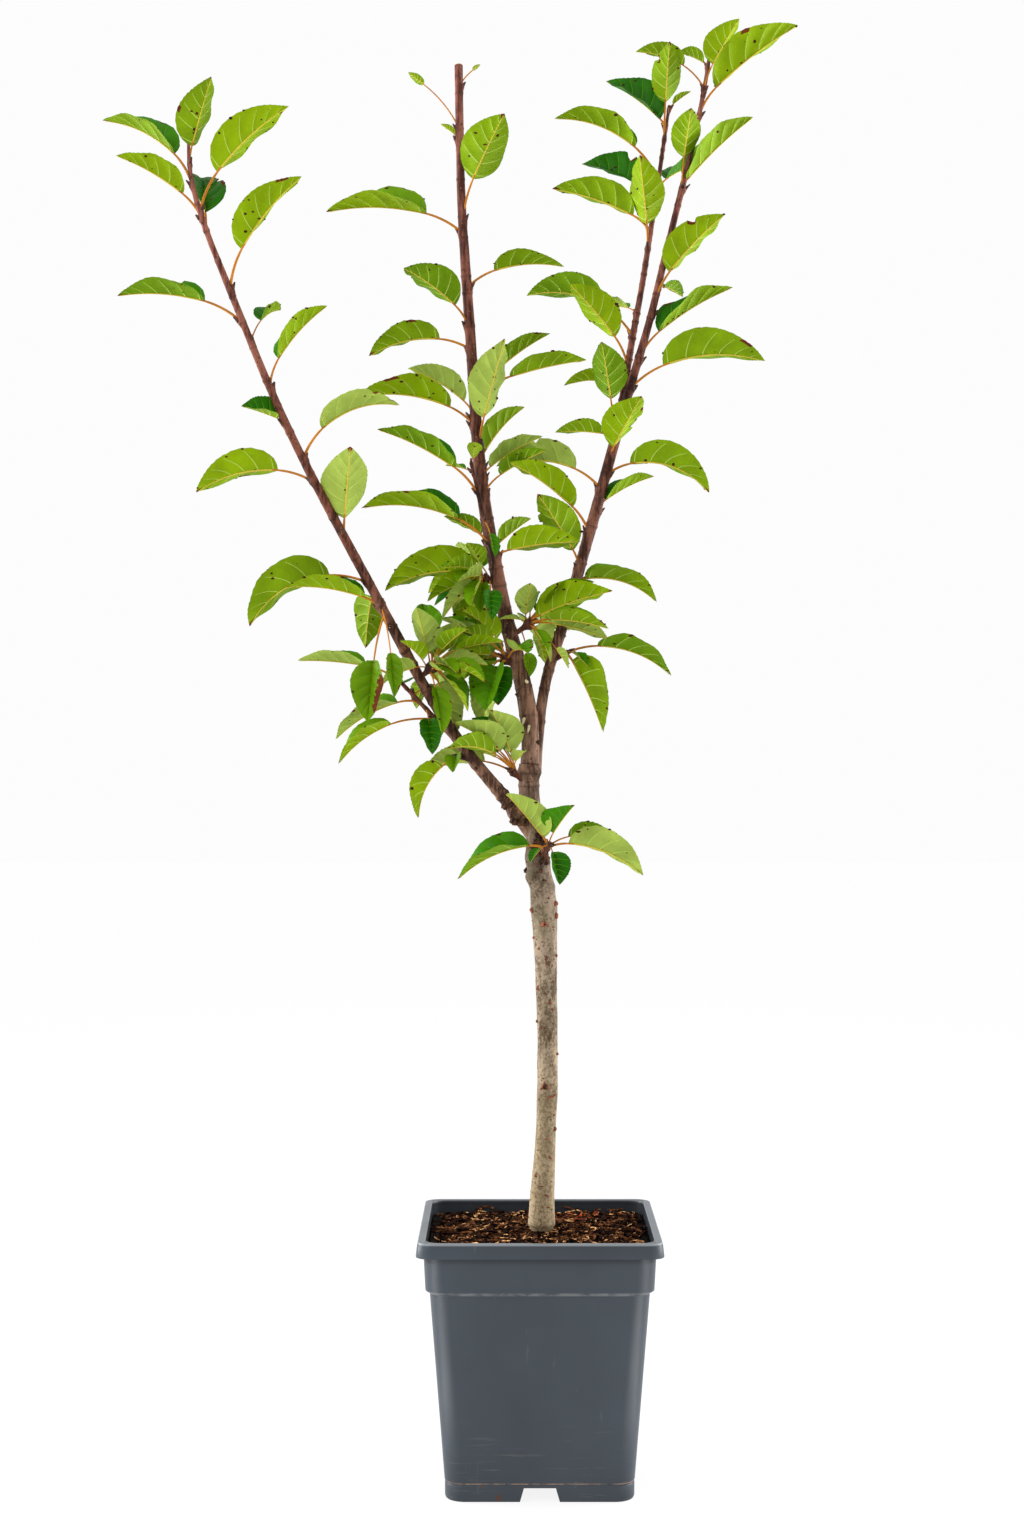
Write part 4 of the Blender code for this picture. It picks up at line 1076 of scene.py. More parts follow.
# %% Finer leaves of the crowded middle
FINER = {
    "left_inner": leaves(
        (0.66, 66, -60, 12, 44, 14, 0, 1.2), (0.72, 214, 56, 16, 42, 20, 0, 1.35),
        (0.58, 228, 40, 24, 30, 10, 0, 1.3), (0.86, 344, 2, 26, 38, 10, 8),
        (0.8, 60, -34, 20, 36, 16, 12, 1.3), (0.9, 30, 20, 20, 40, 22, 12, 1.2),
        (0.99, 286, 50, 20, 30, 14, 0, 1.2), (0.76, 190, -10, 30, 34, 12, 20, 1.2),
    ),
    "centre_low_spur": leaves(
        (0.7, 186, 20, 34, 54, 12, -45, 1.1), (0.75, 196, -22, 12, 30, 8, 10),
        (0.96, 238, -56, 16, 34, 12, 0, 1.6), (0.6, 286, -48, 16, 28, 12, 0, 1.5),
        (0.85, 110, 46, 20, 44, 16, 12, 1.3), (0.9, 120, -50, 10, 46, 18, 12, 1.3),
        (0.98, 170, 12, 20, 36, 10, 24, 1.1), (0.8, 80, 10, 20, 40, 14, 12, 1.3),
        (0.88, 222, -30, 20, 40, 20, 20, 1.2),
    ),
    "centre_left_spur": leaves(
        (0.7, 184, -14, 24, 44, 6, -45), (0.97, 258, -50, 20, 28, 9, 0, 1.3),
        (0.9, 206, -32, 12, 38, 12, 30), (0.6, 130, 40, 20, 40, 14, 12, 1.2),
        (0.8, 110, -40, 20, 44, 12, 12, 1.3), (0.99, 250, 40, 20, 30, 10, 0, 1.2),
    ),
    "centre_right_spur": leaves(
        (0.9, 352, -6, 20, 40, 4, -45, 1.4), (0.3, 345, -36, -20, 50, 12, -40),
        (0.5, 290, -70, 10, 20, 24, 0, 1.3), (0.8, 330, -50, 10, 20, 34, 0, 1.2),
        (0.9, 200, 10, 20, 18, 8), (0.7, 280, 50, 10, 34, 10, 0, 1.2),
        (0.95, 90, 30, 20, 40, 12, 12, 1.2), (0.85, 60, -30, 20, 40, 10, 12, 1.2),
    ),
    "fork_spur": leaves(
        (0.8, 196, 26, 40, 46, 26, 20), (0.7, 120, 40, 30, 40, 24, 12, 1.3),
        (0.97, 290, 36, 30, 26, 10, 0), (0.9, 200, 48, 20, 40, 20, -30, 1.3),
    ),
    "left_spur": leaves(
        (0.9, 205, 36, 10, 26, 6, -40, 1.8), (0.8, 20, 46, 10, 30, 10, 12, 1.2),
    ),
    "left_twig": leaves(
        (0.9, 100, 10, 20, 36, 10, 12, 1.2), (0.6, 280, -50, 10, 34, 14, 0, 1.2),
        (0.35, 120, -30, 20, 36, 12, 12, 1.2),
    ),
    "centre_shoot_low": leaves(
        (0.25, 300, 50, 16, 44, 12, 0, 1.3), (0.27, 24, 40, 10, 40, 10, 12, 1.1),
        (0.31, 200, 30, 10, 34, 12, 12, 1.1),
    ),
}


def crowd(seed, count, bearings, lifts):
    """Small leaves at seeded bearings and lifts."""
    drawn = random.Random(seed).uniform
    return leaves(*(
        (drawn(0.55, 1.0), drawn(*bearings), drawn(*lifts), 20, drawn(28, 46), drawn(8, 24),
         drawn(-10, 24), drawn(1.05, 1.35))
        for _ in range(count)
    ))


FINER["left_inner"] += crowd(31, 9, (-50, 110), (-50, 60))
FINER["centre_low_spur"] += crowd(32, 12, (110, 260), (-60, 60))
FINER["centre_left_spur"] += crowd(33, 7, (110, 250), (-60, 20))
FINER["centre_right_spur"] += crowd(34, 7, (-60, 100), (-60, 50))
FINER["fork_spur"] += crowd(35, 5, (130, 240), (20, 60))
print("finer leaves:", sum(map(len, FINER.values())))

# %% [markdown]
# ## The growing rule
# The lists alone don't settle a leaf. A seeded chance turns each one by up to three degrees,
# and a leaf that would touch a stem or another leaf turns aside in small steps until it is
# clear. To get the same leaves as the solid parts have, the same coarse blades are grown here
# in the same order from the same seed. They are never shown: they only say where each fine
# leaf goes.

# %% Coarse leaves for the rule
BLADE_SLENDER = 1.85
BLADE_THICK = 1.4 * MM
BLADE_FOLD = 44
BLADE_STATIONS = ((0.1, 0.58), (0.34, 1.0), (0.62, 0.86), (0.86, 0.42))
STALK_ARCH = 28
STALK_GIRTH = 1.9 * MM
STALK_STEPS = 2
STALK_TAPER = 0.35
STALK_POINT = 0.3
FOLD_EASED = 0.35
BLADE_THINNED = 0.4
TURNS_TRIED = (0, 6, -6, 12, -12, 18, -18)
FINER_TURNS = TURNS_TRIED + (26, -26, 36, -36, 48, -48)
TWIST = 3
GUARD = 1.2 * CLEAR
SEED = 11


def stepped(start, bearing, rises):
    """Points along a line that sets off at a bearing, from the rise and length of each step."""
    points = [start]
    turn = math.radians(bearing)
    for rise, length in rises:
        level, up = math.cos(math.radians(rise)) * length, math.sin(math.radians(rise)) * length
        points.append(points[-1] + Vector((level * math.cos(turn), level * math.sin(turn), up)))
    return points


def stalk_line(root, bearing, lift, length, steps=STALK_STEPS):
    """Points from the stem to the base of the blade."""
    return stepped(root, bearing, [
        (lift + STALK_ARCH * (1 - (step + 0.5) / steps), length / steps) for step in range(steps)
    ])


def skinned(rings):
    """Points and faces of a closed skin with flat ends."""
    skin = Skin()
    skin.rings(rings)
    return skin.points, skin.faces


def tube_rings(limb, low, high, rings, sides):
    """Plain rings along a stretch of a limb."""
    turn = 2 * math.pi / sides
    for ring in range(rings):
        share = low + (high - low) * ring / (rings - 1)
        along = limb.heading(share)
        across = Vector((0, 1, 0)).cross(along).normalized()
        behind = along.cross(across)
        middle, radius = limb.at(share), limb.radius(share)
        yield [
            middle + (across * math.cos(turn * i) + behind * math.sin(turn * i)) * radius
            for i in range(sides)
        ]


def thread(points, radii, turns):
    """Rings along a thin tube through points, each with its corners at the given turns."""
    rings, last = [], len(points) - 1
    for i, (point, radius) in enumerate(zip(points, radii)):
        along = (points[min(i + 1, last)] - points[max(i - 1, 0)]).normalized()
        side = Vector((0, 0, 1)).cross(along).normalized()
        over = along.cross(side)
        rings.append([
            point + (side * math.cos(turn) + over * math.sin(turn)) * radius for turn in turns
        ])
    return rings


def coarse_stalk(points, spare):
    last = len(points) - 1
    tapers = [1.0 - STALK_TAPER * i / last for i in range(last)] + [STALK_POINT]
    radii = [STALK_GIRTH / 2 * taper + spare for taper in tapers]
    return skinned(thread(points, radii, [math.radians(210 + 120 * k) for k in range(3)]))


def leaf_frame(along, bearing, roll):
    """The directions to a leaf's left and out of its upper face."""
    turn = math.radians(bearing)
    level = Vector((-math.sin(turn), math.cos(turn), 0))
    tip_up = math.radians(roll * (-1 if math.cos(turn) > 0 else 1))
    side = level * math.cos(tip_up) + along.cross(level) * math.sin(tip_up)
    return side, along.cross(side)


def coarse_blade(points, bearing, roll, breadth, spare):
    corners = [points[0]]
    for i, (share, broad) in enumerate(BLADE_STATIONS, start=1):
        along = (points[i + 1] - points[i - 1]).normalized()
        side, over = leaf_frame(along, bearing, roll)
        half = breadth / 2 * broad + spare
        raised = math.radians(BLADE_FOLD * (1 - FOLD_EASED * share))
        thick = BLADE_THICK / 2 * (1 - BLADE_THINNED * share) + spare
        left_edge = points[i] + (over * math.sin(raised) + side * math.cos(raised)) * half
        right_edge = points[i] + (over * math.sin(raised) - side * math.cos(raised)) * half
        corners += [left_edge, points[i] - over * thick, right_edge, points[i] + over * thick]
    corners.append(points[-1])
    return corners, coarse_faces(len(corners) - 1)


def coarse_faces(tip):
    faces = []
    for k in range(4):
        n = (k + 1) % 4
        faces.append((0, 1 + k, 1 + n))
        for low in range(1, tip - 4, 4):
            high = low + 4
            if k % 2 == 0:
                faces += [(low + k, high + k, low + n), (high + k, high + n, low + n)]
            else:
                faces += [(low + k, high + k, high + n), (low + k, high + n, low + n)]
        faces.append((tip - 4 + k, tip, tip - 4 + n))
    return faces


def coarse_leaf(root, row, spare=0.0):
    share, bearing, lift, droop, blade, stalk, roll, wide = row
    stalk_points = stalk_line(root, bearing, lift, stalk)
    shares = [0.0] + [place for place, breadth in BLADE_STATIONS] + [1.0]
    blade_points = stepped(stalk_points[-1], bearing, [
        (lift - droop * (low + high) / 2, blade * (high - low))
        for low, high in zip(shares, shares[1:])
    ])
    return (
        coarse_stalk(stalk_points + [blade_points[1]], spare),
        coarse_blade(blade_points, bearing, roll, blade / BLADE_SLENDER * wide, spare),
    )


print("a coarse blade has", len(coarse_faces(17)), "faces")


# %% Grow the leaves
def clear_of(share_end, line):
    return share_end + CLEAR / (line.points[-1].z - line.points[0].z)


STRETCHES = {
    "trunk": (trunk, 0, 1, 27, 12),
    "left_bough": (left, 0, 0.318, 10, 10),
    "centre_bough": (centre, 0, 0.232, 10, 10),
    "right_bough": (right, 0, 0.222, 10, 10),
    "left_shoot_top": (left, clear_of(0.545, left), 1, 9, 8),
    "left_shoot_low": (left, clear_of(0.318, left), 0.545, 6, 8),
    "centre_shoot_top": (centre, clear_of(0.47, centre), 1, 9, 8),
    "centre_shoot_low": (centre, clear_of(0.232, centre), 0.47, 6, 8),
    "right_outer_shoot": (right, clear_of(0.5, right), 1, 9, 8),
    "right_shoot_low": (right, clear_of(0.222, right), 0.5, 6, 8),
    "right_inner_shoot": (inner, 0, 1, 9, 8),
}
for name, line in TWIGS.items():
    STRETCHES[name] = (line, 0, 1, 5 if name.endswith("twig") else 3, 8)
ORDER = {
    "left_shoot_top": LEFT_TOP, "left_shoot_low": LEFT_LOW,
    "centre_shoot_top": CENTRE_UPPER, "centre_shoot_low": CENTRE_LOW,
    "right_outer_shoot": OUTER, "right_inner_shoot": INNER, "right_shoot_low": RIGHT_LOW,
    "left_twig": LEFT_TWIG, "centre_twig": CENTRE_TWIG, "trunk_spur": TRUNK_SPUR,
    "right_spur": RIGHT_SPUR, "centre_left_spur": CENTRE_LEFT_SPUR,
    "centre_right_spur": CENTRE_RIGHT_SPUR, "centre_low_spur": CENTRE_LOW_SPUR,
    "left_inner": LEFT_INNER, "left_spur": LEFT_SPUR, "fork_spur": FORK_SPUR,
}


def net_of(shape):
    return BVHTree.FromPolygons(*shape)


def grow_leaves():
    """Where every leaf settles: its mass, its root and its row, turned as the rule says."""
    chance = random.Random(SEED)
    strayed = lambda degrees: degrees + chance.uniform(-TWIST, TWIST)
    stems = {name: net_of(skinned(list(tube_rings(*taken)))) for name, taken in STRETCHES.items()}
    nets, settled = [], []

    def touches(name, stalk, blade):
        for other, net in stems.items():
            if other != name and (stalk.overlap(net) or blade.overlap(net)):
                return True
        for other, other_stalk, other_blade in nets:
            if blade.overlap(other_blade) or blade.overlap(other_stalk):
                return True
            if stalk.overlap(other_blade) or (other != name and stalk.overlap(other_stalk)):
                return True
        return False

    crowd = [(name, rows, TURNS_TRIED) for name, rows in ORDER.items()]
    crowd += [(name, rows, FINER_TURNS) for name, rows in FINER.items()]
    for name, rows, turns in crowd:
        for share, bearing, lift, droop, blade, stalk, roll, wide in rows:
            bearing, lift, roll = strayed(bearing), strayed(lift), strayed(roll)
            root = STRETCHES[name][0].at(share)
            for aside in turns:
                row = (share, bearing + aside, lift, droop, blade, stalk, roll, wide)
                if not touches(name, *(net_of(shape) for shape in coarse_leaf(root, row, GUARD))):
                    nets.append((name, *(net_of(shape) for shape in coarse_leaf(root, row))))
                    settled.append((name, root, row))
                    break
    return settled


LEAVES = grow_leaves()
print("leaves grown:", len(LEAVES), "of", sum(map(len, (*ORDER.values(), *FINER.values()))))
for name in FINER:
    print(f"  {name}: {sum(leaf[0] == name for leaf in LEAVES)} leaves")

# %% [markdown]
# ## The fine leaf
# A leaf is folded along its midrib like a shallow boat, arches down towards its tip, and
# swells a little between the side veins. If the rows of the mesh run straight across, the
# veins cut through them and look ragged. So the rows run with the veins, slanting forward
# from the midrib, and a vein is simply a narrow row. Both faces share their points along the
# margin, which closes the shell. It is a hundredth of its length thick.

# %% Leaf sizes
VEINS = 6  # side veins in each half
BETWEEN = 4  # rows of mesh between two veins
COLUMNS = 8  # columns of mesh from midrib to margin
VEIN_BREADTH = 0.42 * MM  # half the breadth of a side vein, at the midrib
VEIN_LEAD = 0.2  # how far a vein slants forward, as a share of the blade
VEIN_RAISED = 0.3 * MM
SWELL = 0.015  # how much the tissue swells between veins, against the blade's length
BLADE_SHELL = 0.0105  # thickness against length
TOOTH = 0.45 * MM  # how far the teeth of the margin stand out
WAVE = (0.4 * MM, 1.2 * MM)  # how far the margin of a 60 mm blade waves up and down
PEAK = (0.6, 0.96)  # powers of the outline, at its base and at its tip
FAR_HALF_SHOWS = 0.62  # share of leaves seen from their side that show their far half
UPPER_FACE_SHOWS = 0.26  # share of them that show their upper face


def outline(share):
    """The breadth of a blade along its length, 1 at its broadest."""
    near, far = PEAK
    top = near / (near + far)
    return (share / top) ** near * ((1 - share) / (1 - top)) ** far


def vein_rows():
    """Where each row of mesh leaves the midrib, its place between two veins (0 and 1 are
    on a vein) and its side of the vein."""
    starts = [0.055 + 0.8 * (k / (VEINS - 1)) ** 0.94 for k in range(VEINS)]
    rows = [(0.012, 0.55, 0), (0.03, 0.8, 0)]
    for here, following in zip(starts, starts[1:] + [0.985]):
        rows += [(here, 0.0, -1), (here, 0.0, 0), (here, 0.0, 1)]
        for step in range(1, BETWEEN + 1):
            f = step / (BETWEEN + 1)
            rows.append((here + (following - here) * f, f, 0))
    return np.array(rows + [(0.988, 0.5, 0)])


ROWS = vein_rows()
print("rows in a leaf:", len(ROWS))


# %% One leaf's surface
class Blade:
    """The fine surface of one leaf, worked out for all its points at once."""

    def __init__(self, root, row, chance):
        share, self.bearing, self.lift, self.droop, self.length, stalk, self.roll, wide = row
        self.breadth = self.length / BLADE_SLENDER * wide
        self.chance = chance
        self.stalk = stalk_line(root, self.bearing, self.lift, stalk, steps=8)
        steps = 60
        self.midrib = np.array(stepped(self.stalk[-1], self.bearing, [
            (self.lift - self.droop * (step + 0.5) / steps, self.length / steps)
            for step in range(steps)
        ]))
        self.fold = BLADE_FOLD + chance.uniform(-5, 3)
        self.twist = chance.uniform(-14, 14)
        self.turn_over()
        self.curl = chance.uniform(-4, 20)
        self.nibbles = []
        if chance.random() < 0.2 and self.length > 35 * MM:
            half = chance.choice((-1, 1))
            for _ in range(chance.choice((1, 1, 2))):
                where, size = chance.uniform(0.25, 0.9), chance.uniform(0.015, 0.035)
                self.nibbles.append((half, where, size, chance.uniform(0.12, 0.35)))

    def turn_over(self):
        """Settles how a leaf seen from its side is rolled: most show a thin strip of their
        far half under the midrib, some the upper face of it near their base."""
        if abs(math.cos(math.radians(self.bearing))) < 0.7 or not -5 < self.roll < 30:
            return
        above = math.degrees(math.atan2(self.midrib[30][2] - EYE[2], -EYE[1]))
        style = self.chance.random()
        if style < FAR_HALF_SHOWS:
            self.roll = 0.83 * self.fold - above + self.chance.uniform(4, 15)
        elif style < FAR_HALF_SHOWS + UPPER_FACE_SHOWS:
            self.roll, self.twist = self.roll - 16, self.chance.uniform(38, 60)

    def spine(self, u):
        """Points on the midrib, and the directions across it and out of the upper face."""
        steps = np.linspace(0, 1, len(self.midrib))
        points = np.stack([np.interp(u, steps, self.midrib[:, k]) for k in range(3)], -1)
        rise = np.radians(self.lift - self.droop * u)
        turn = math.radians(self.bearing)
        east, back = math.cos(turn), math.sin(turn)
        along = np.stack([np.cos(rise) * east, np.cos(rise) * back, np.sin(rise)], -1)
        level = np.array((-back, east, 0))
        flat = np.cross(along, level)
        front = -1 if east > 0 else 1
        tipped = np.radians((self.roll + self.twist * (u - 0.4)) * front)[..., None]
        side = level * np.cos(tipped) + flat * np.sin(tipped)
        return points, side, np.cross(along, side)

    def half(self, sign):
        """The upper and under surfaces of one half, rows by columns, and each point's wear."""
        chance = self.chance
        s, f, flank = (ROWS[:, k, None] for k in range(3))
        t = np.linspace(0, 1, COLUMNS + 1)[None, :]
        lead = VEIN_LEAD * chance.uniform(0.85, 1.15)
        s = s + flank * (VEIN_BREADTH / self.length) * (1 - 0.8 * t)
        edge = s + lead * 4 * s * (1 - s)
        u = s + (edge - s) * t ** 1.4
        reach = self.breadth / 2 * outline(np.clip(edge, 0, 1)) * np.ones_like(t)
        for half, where, size, depth in self.nibbles:
            if half == sign:
                reach = reach * (1 - depth * np.exp(-((edge - where) / size) ** 4) * t)
        steps = len(ROWS)
        teeth = np.array([
            (0.5 if k % 2 else -0.4) + chance.uniform(-0.3, 0.3) for k in range(steps)
        ])
        reach = reach + teeth[:, None] * TOOTH * t ** 14 * np.minimum(1, reach / (4 * MM))
        phi = np.radians(self.fold * (1 - FOLD_EASED * u) + self.curl * (0.5 - t))
        out = np.concatenate([np.zeros((steps, 1)), np.cumsum(np.cos(phi[:, 1:]), 1)], 1) / COLUMNS
        up = np.concatenate([np.zeros((steps, 1)), np.cumsum(np.sin(phi[:, 1:]), 1)], 1) / COLUMNS
        spine, side, over = self.spine(np.clip(u, 0, 1))
        base = spine + (side * (sign * out)[..., None] + over * up[..., None]) * reach[..., None]
        normal = over * np.cos(phi)[..., None] - side * (sign * np.sin(phi))[..., None]
        small = np.minimum(1, reach / (6 * MM))
        crown = np.sin(math.pi * np.clip(t, 0, 1)) ** 0.7
        lift = SWELL * self.length * np.sin(math.pi * f) * crown * small
        turns, phase = chance.uniform(1.6, 3.4), chance.uniform(0, 6.28)
        wave = chance.uniform(*WAVE) * (self.length / (60 * MM))
        lift = lift + wave * t ** 2 * np.sin(2 * math.pi * turns * edge + phase) * small
        shell = BLADE_SHELL / 2 * self.length * np.sqrt(1 - t ** 4) * small
        ridge = VEIN_RAISED * (f == 0) * (flank == 0) * (1 - t) * small
        upper = base + normal * (lift + shell - ridge * 0.5)[..., None]
        under = base + normal * (lift - shell - ridge)[..., None]
        wear = np.clip((t - 0.7) / 0.3, 0, 1) + 0.7 * np.exp(-(t / 0.12) ** 2) + 0.12
        return upper, under, wear * np.ones_like(edge)

    def rings(self):
        """Closed rings round the shell, from a point at the base to a point at the tip."""
        (up_l, low_l, wear_l), (up_r, low_r, wear_r) = self.half(1), self.half(-1)
        middle_up, middle_low = (up_l[:, :1] + up_r[:, :1]) / 2, (low_l[:, :1] + low_r[:, :1]) / 2

        def around(left, over, right, right_low, under, left_low):
            """Over the upper face from left to right, and back under the leaf."""
            return np.concatenate([
                left[:, :0:-1], over, right[:, 1:], right_low[:, -2:0:-1], under, left_low[:, 1:-1],
            ], 1)

        points = around(up_l, middle_up, up_r, low_r, middle_low, low_l)
        wear = around(wear_l, wear_l[:, :1], wear_r, wear_r, wear_r[:, :1], wear_l)
        base, tip = (
            np.repeat(self.midrib[k][None], points.shape[1], 0)[None] for k in (0, -1)
        )
        points = np.concatenate([base, points, tip])
        wear = np.concatenate([wear[:1], wear, wear[-1:]])
        return points, wear


print("a ring round a leaf has", 4 * COLUMNS, "points")


# %% [markdown]
# ## Finishes within a leaf
# Each face of a leaf knows its row and column, so it knows whether it is a vein, the upper
# side, the under side, or part of a browned tip or a nibbled edge. That picks its finish.

# %% Deal the finishes
def leaf_kinds(blade, under_kind, upper_kind, chance, dead=False):
    """A rule that gives the finish of a leaf's face from its row and column."""
    vein_kind, upper_vein_kind, brown_kind = (
        LEAF_FINISHES.index(finish) for finish in (VEIN, UPPER_VEIN, BROWN)
    )
    on_vein = set()
    for k in range(VEINS):
        first = 2 + k * (3 + BETWEEN)
        on_vein |= {first + 1, first + 2}
    last = len(ROWS)
    brown_tip = last - chance.choice((0, 0, 0, 1, 2, 3))
    burnt = [(half, where, size * 1.2) for half, where, size, depth in blade.nibbles]
    if chance.random() < 0.35:
        burnt.append((chance.choice((-1, 1)), chance.uniform(0.3, 0.9), chance.uniform(0.02, 0.06)))

    def kind(row, column):
        below = column >= 2 * COLUMNS
        place = column if not below else 4 * COLUMNS - 1 - column
        half = 1 if place < COLUMNS else -1
        out = COLUMNS - 1 - place if half > 0 else place - COLUMNS
        if row >= brown_tip:
            return brown_kind
        edge = row / last
        edge += VEIN_LEAD * 4 * edge * (1 - edge)
        if dead and half > 0 and out >= COLUMNS - 3 + (row % 3 == 0) and 0.3 < edge < 0.86:
            return brown_kind
        if out >= COLUMNS - 1 and any(
            side == half and abs(edge - where) < size for side, where, size in burnt
        ):
            return brown_kind
        if row in on_vein and out < COLUMNS - 1:
            return vein_kind if below and under_kind < len(UNDERSIDES) else upper_vein_kind
        return under_kind if below else upper_kind

    return kind


def weld(piece):
    """Merges the doubled points at a leaf's base and tip."""
    mesh = bmesh.new()
    mesh.from_mesh(piece.data)
    bmesh.ops.remove_doubles(mesh, verts=mesh.verts, dist=0.004 * MM)
    bmesh.ops.dissolve_degenerate(mesh, edges=mesh.edges, dist=0.002 * MM)
    mesh.to_mesh(piece.data)
    mesh.free()


def round_turns(sides):
    return [2 * math.pi * k / sides for k in range(sides)]


def stalk_rings(blade):
    """The stalk and, as one with it, the midrib that runs on under the blade."""
    points = [Vector(point) for point in blade.stalk[:-1]]
    size = min(1.0, max(0.55, blade.length / (62 * MM)))
    radii = [
        1.25 * STALK_GIRTH / 2 * size * (1.3 if i == 0 else 1.0 - 0.22 * i / 8) for i in range(8)
    ]
    radii[1] *= 1.12
    shares = np.linspace(0, 0.97, 15)
    spine, side, over = blade.spine(shares)
    shell = BLADE_SHELL / 2 * blade.length
    for k, share in enumerate(shares):
        drop = shell * 1.1 * min(1, share * 6)
        points.append(Vector(spine[k] - over[k] * drop))
        radii.append(0.8 * MM * size * (1 - 0.7 * share))
    return thread(points, radii, round_turns(6))


GROUPS = {
    "left": ["left_shoot_top", "left_shoot_low", "left_twig", "left_inner", "left_spur"],
    "centre": [
        "centre_shoot_top", "centre_shoot_low", "centre_twig", "centre_left_spur",
        "centre_low_spur", "centre_right_spur",
    ],
    "right": ["right_outer_shoot", "right_inner_shoot", "right_shoot_low", "right_spur"],
    "low": ["trunk_spur", "fork_spur"],
}
PALE_HANGING = (("right_spur", 0.85), ("left_shoot_low", 0.332), ("left_shoot_low", 0.345))
# sprays of the crowded middle, whose leaves take paler greens: painted light against the shade they
# stand in
PAINTED_LIGHT_CROWD = ("left_inner", "centre_low_spur", "centre_left_spur", "centre_right_spur", "fork_spur")
DARK_BOTH = (
    ("trunk_spur", 0.86), ("trunk_spur", 0.92), ("trunk_spur", 0.97), ("right_inner_shoot", 0.7),
    ("right_inner_shoot", 0.72), ("right_inner_shoot", 0.925), ("left_shoot_top", 0.88),
)
DEAD_STRIP = ("left_shoot_low", 0.332)
BRIGHT_TOPS = ("left_shoot_top", "centre_shoot_top", "right_outer_shoot", "right_inner_shoot")


def dealt(name, row, chance):
    """The undersides and upper sides that a leaf of this spray may take."""
    share = row[0]
    young = name in BRIGHT_TOPS and share > 0.75
    under = chance.choices((0, 1, 2, 3), (5, 4, 1, 0) if young else (2, 4, 4, 3))[0]
    upper = chance.choices((0, 1, 2, 3), (3, 4, 2, 1) if young else (1, 2, 3, 3))[0]
    # painted light: crowded leaves get paler undersides and fresher uppers to offset their shade
    if name in PAINTED_LIGHT_CROWD:
        under = chance.choices((0, 1, 3), (2, 3, 5))[0]
        upper = chance.choices((0, 1, 2, 3), (6, 4, 1, 2))[0]
    if (name, share) in PALE_HANGING:
        upper = 0
    if (name, share) in DARK_BOTH:
        return len(UNDERSIDES) + 2, len(UNDERSIDES) + 3
    return under, len(UNDERSIDES) + upper


print("leafy groups:", {name: len(nodes) for name, nodes in GROUPS.items()})

# %% Make the leaves
def make_leaves(group):
    """The blades and the stalks of one group of sprays, each kind as one piece."""
    chance = random.Random(SEED + len(group))
    blades, stalks = Skin(), Skin()
    for name, root, row in LEAVES:
        if name not in GROUPS[group]:
            continue
        blade = Blade(root, row, chance)
        points, wear = blade.rings()
        kind = leaf_kinds(blade, *dealt(name, row, chance), chance, (name, row[0]) == DEAD_STRIP)
        blades.rings(points.tolist(), kind, ends="open", wear=wear.ravel().tolist())
        stalks.rings(stalk_rings(blade), lambda ring, side: 0 if ring < 9 else 1)
    piece = blades.piece(f"{group}_blades", LEAF_FINISHES, sharp=180)
    weld(piece)
    piece.data.set_sharp_from_angle(angle=math.radians(75))
    return piece, stalks.piece(f"{group}_stalks", [STALK, RIB], sharp=180)


LEAF_PIECES = {group: make_leaves(group) for group in GROUPS}
print("triangles in the blades:", sum(
    len(face.vertices) - 2
    for blades, stalks in LEAF_PIECES.values() for face in blades.data.polygons
))

# %% [markdown]
# ## Spots on the leaves
# Scab leaves small dark spots, most of them along the margins and the midrib. Another tree
# scatters them over both faces of the blades, as thin lens shapes that lie in the surface.
# The number called "wear" that the blades carry tells it where spots are common.

# %% Scatter the spots
def spot_growth(finish):
    growth = Growth("spots", {"Number": 3000.0, "Smallest": 0.3, "Largest": 1.0, "Seed": 1})
    seed = growth.given("Seed")
    wear = growth.node("GeometryNodeInputNamedAttribute", {"data_type": "FLOAT"}, {"Name": "wear"})
    points = growth.strewn(wear * growth.given("Number"))
    spot = growth.node("GeometryNodeMeshUVSphere", None, {
        "Radius": 0.0013, "Segments": 8, "Rings": 4,
    })
    shape = growth.random_vector((0.6, 0.4, 0.15), (1.3, 0.9, 0.15), seed + 1)
    size = growth.random_number(growth.given("Smallest"), growth.given("Largest"), seed + 2)
    even = growth.node("ShaderNodeVectorMath", {"operation": "MAXIMUM"}, {
        0: growth.scaled(shape, size), 1: (0, 0, 0.11),
    })
    return growth.copied(spot, points, growth.flat_on(points), even, finish)


for number, (group, (blades, stalks)) in enumerate(LEAF_PIECES.items()):
    spots = run_tree(f"{group}_spots", spot_growth(SPOT), blades.data.copy(), {
        "Number": 11000.0, "Smallest": 0.3, "Largest": 1.35, "Seed": 20 + number,
    })
    for piece in (blades, stalks, spots):
        finish_piece(piece, "foliage", *GROUPS[group])


# %% [markdown]
# ## Bark over the limbs
# Bark is never a smooth pipe. Each limb is skinned with narrow rings whose radius is pushed
# in and out: broad lumps, a fine lengthwise grain, a swelling under every leaf, and narrow
# rings where one year's growth ended. On the trunk it adds a flare at the foot.

# %% Bark skin
GRAIN = 420  # noise across the grain, to the metre
GRAIN_ALONG = 70
LUMPS = 42


def swelling(points, spot, reach, height):
    """A smooth bump over the points that lie near a spot."""
    gap = np.linalg.norm(points - np.array(spot), axis=-1)
    return height * np.exp(-((gap / reach) ** 2))


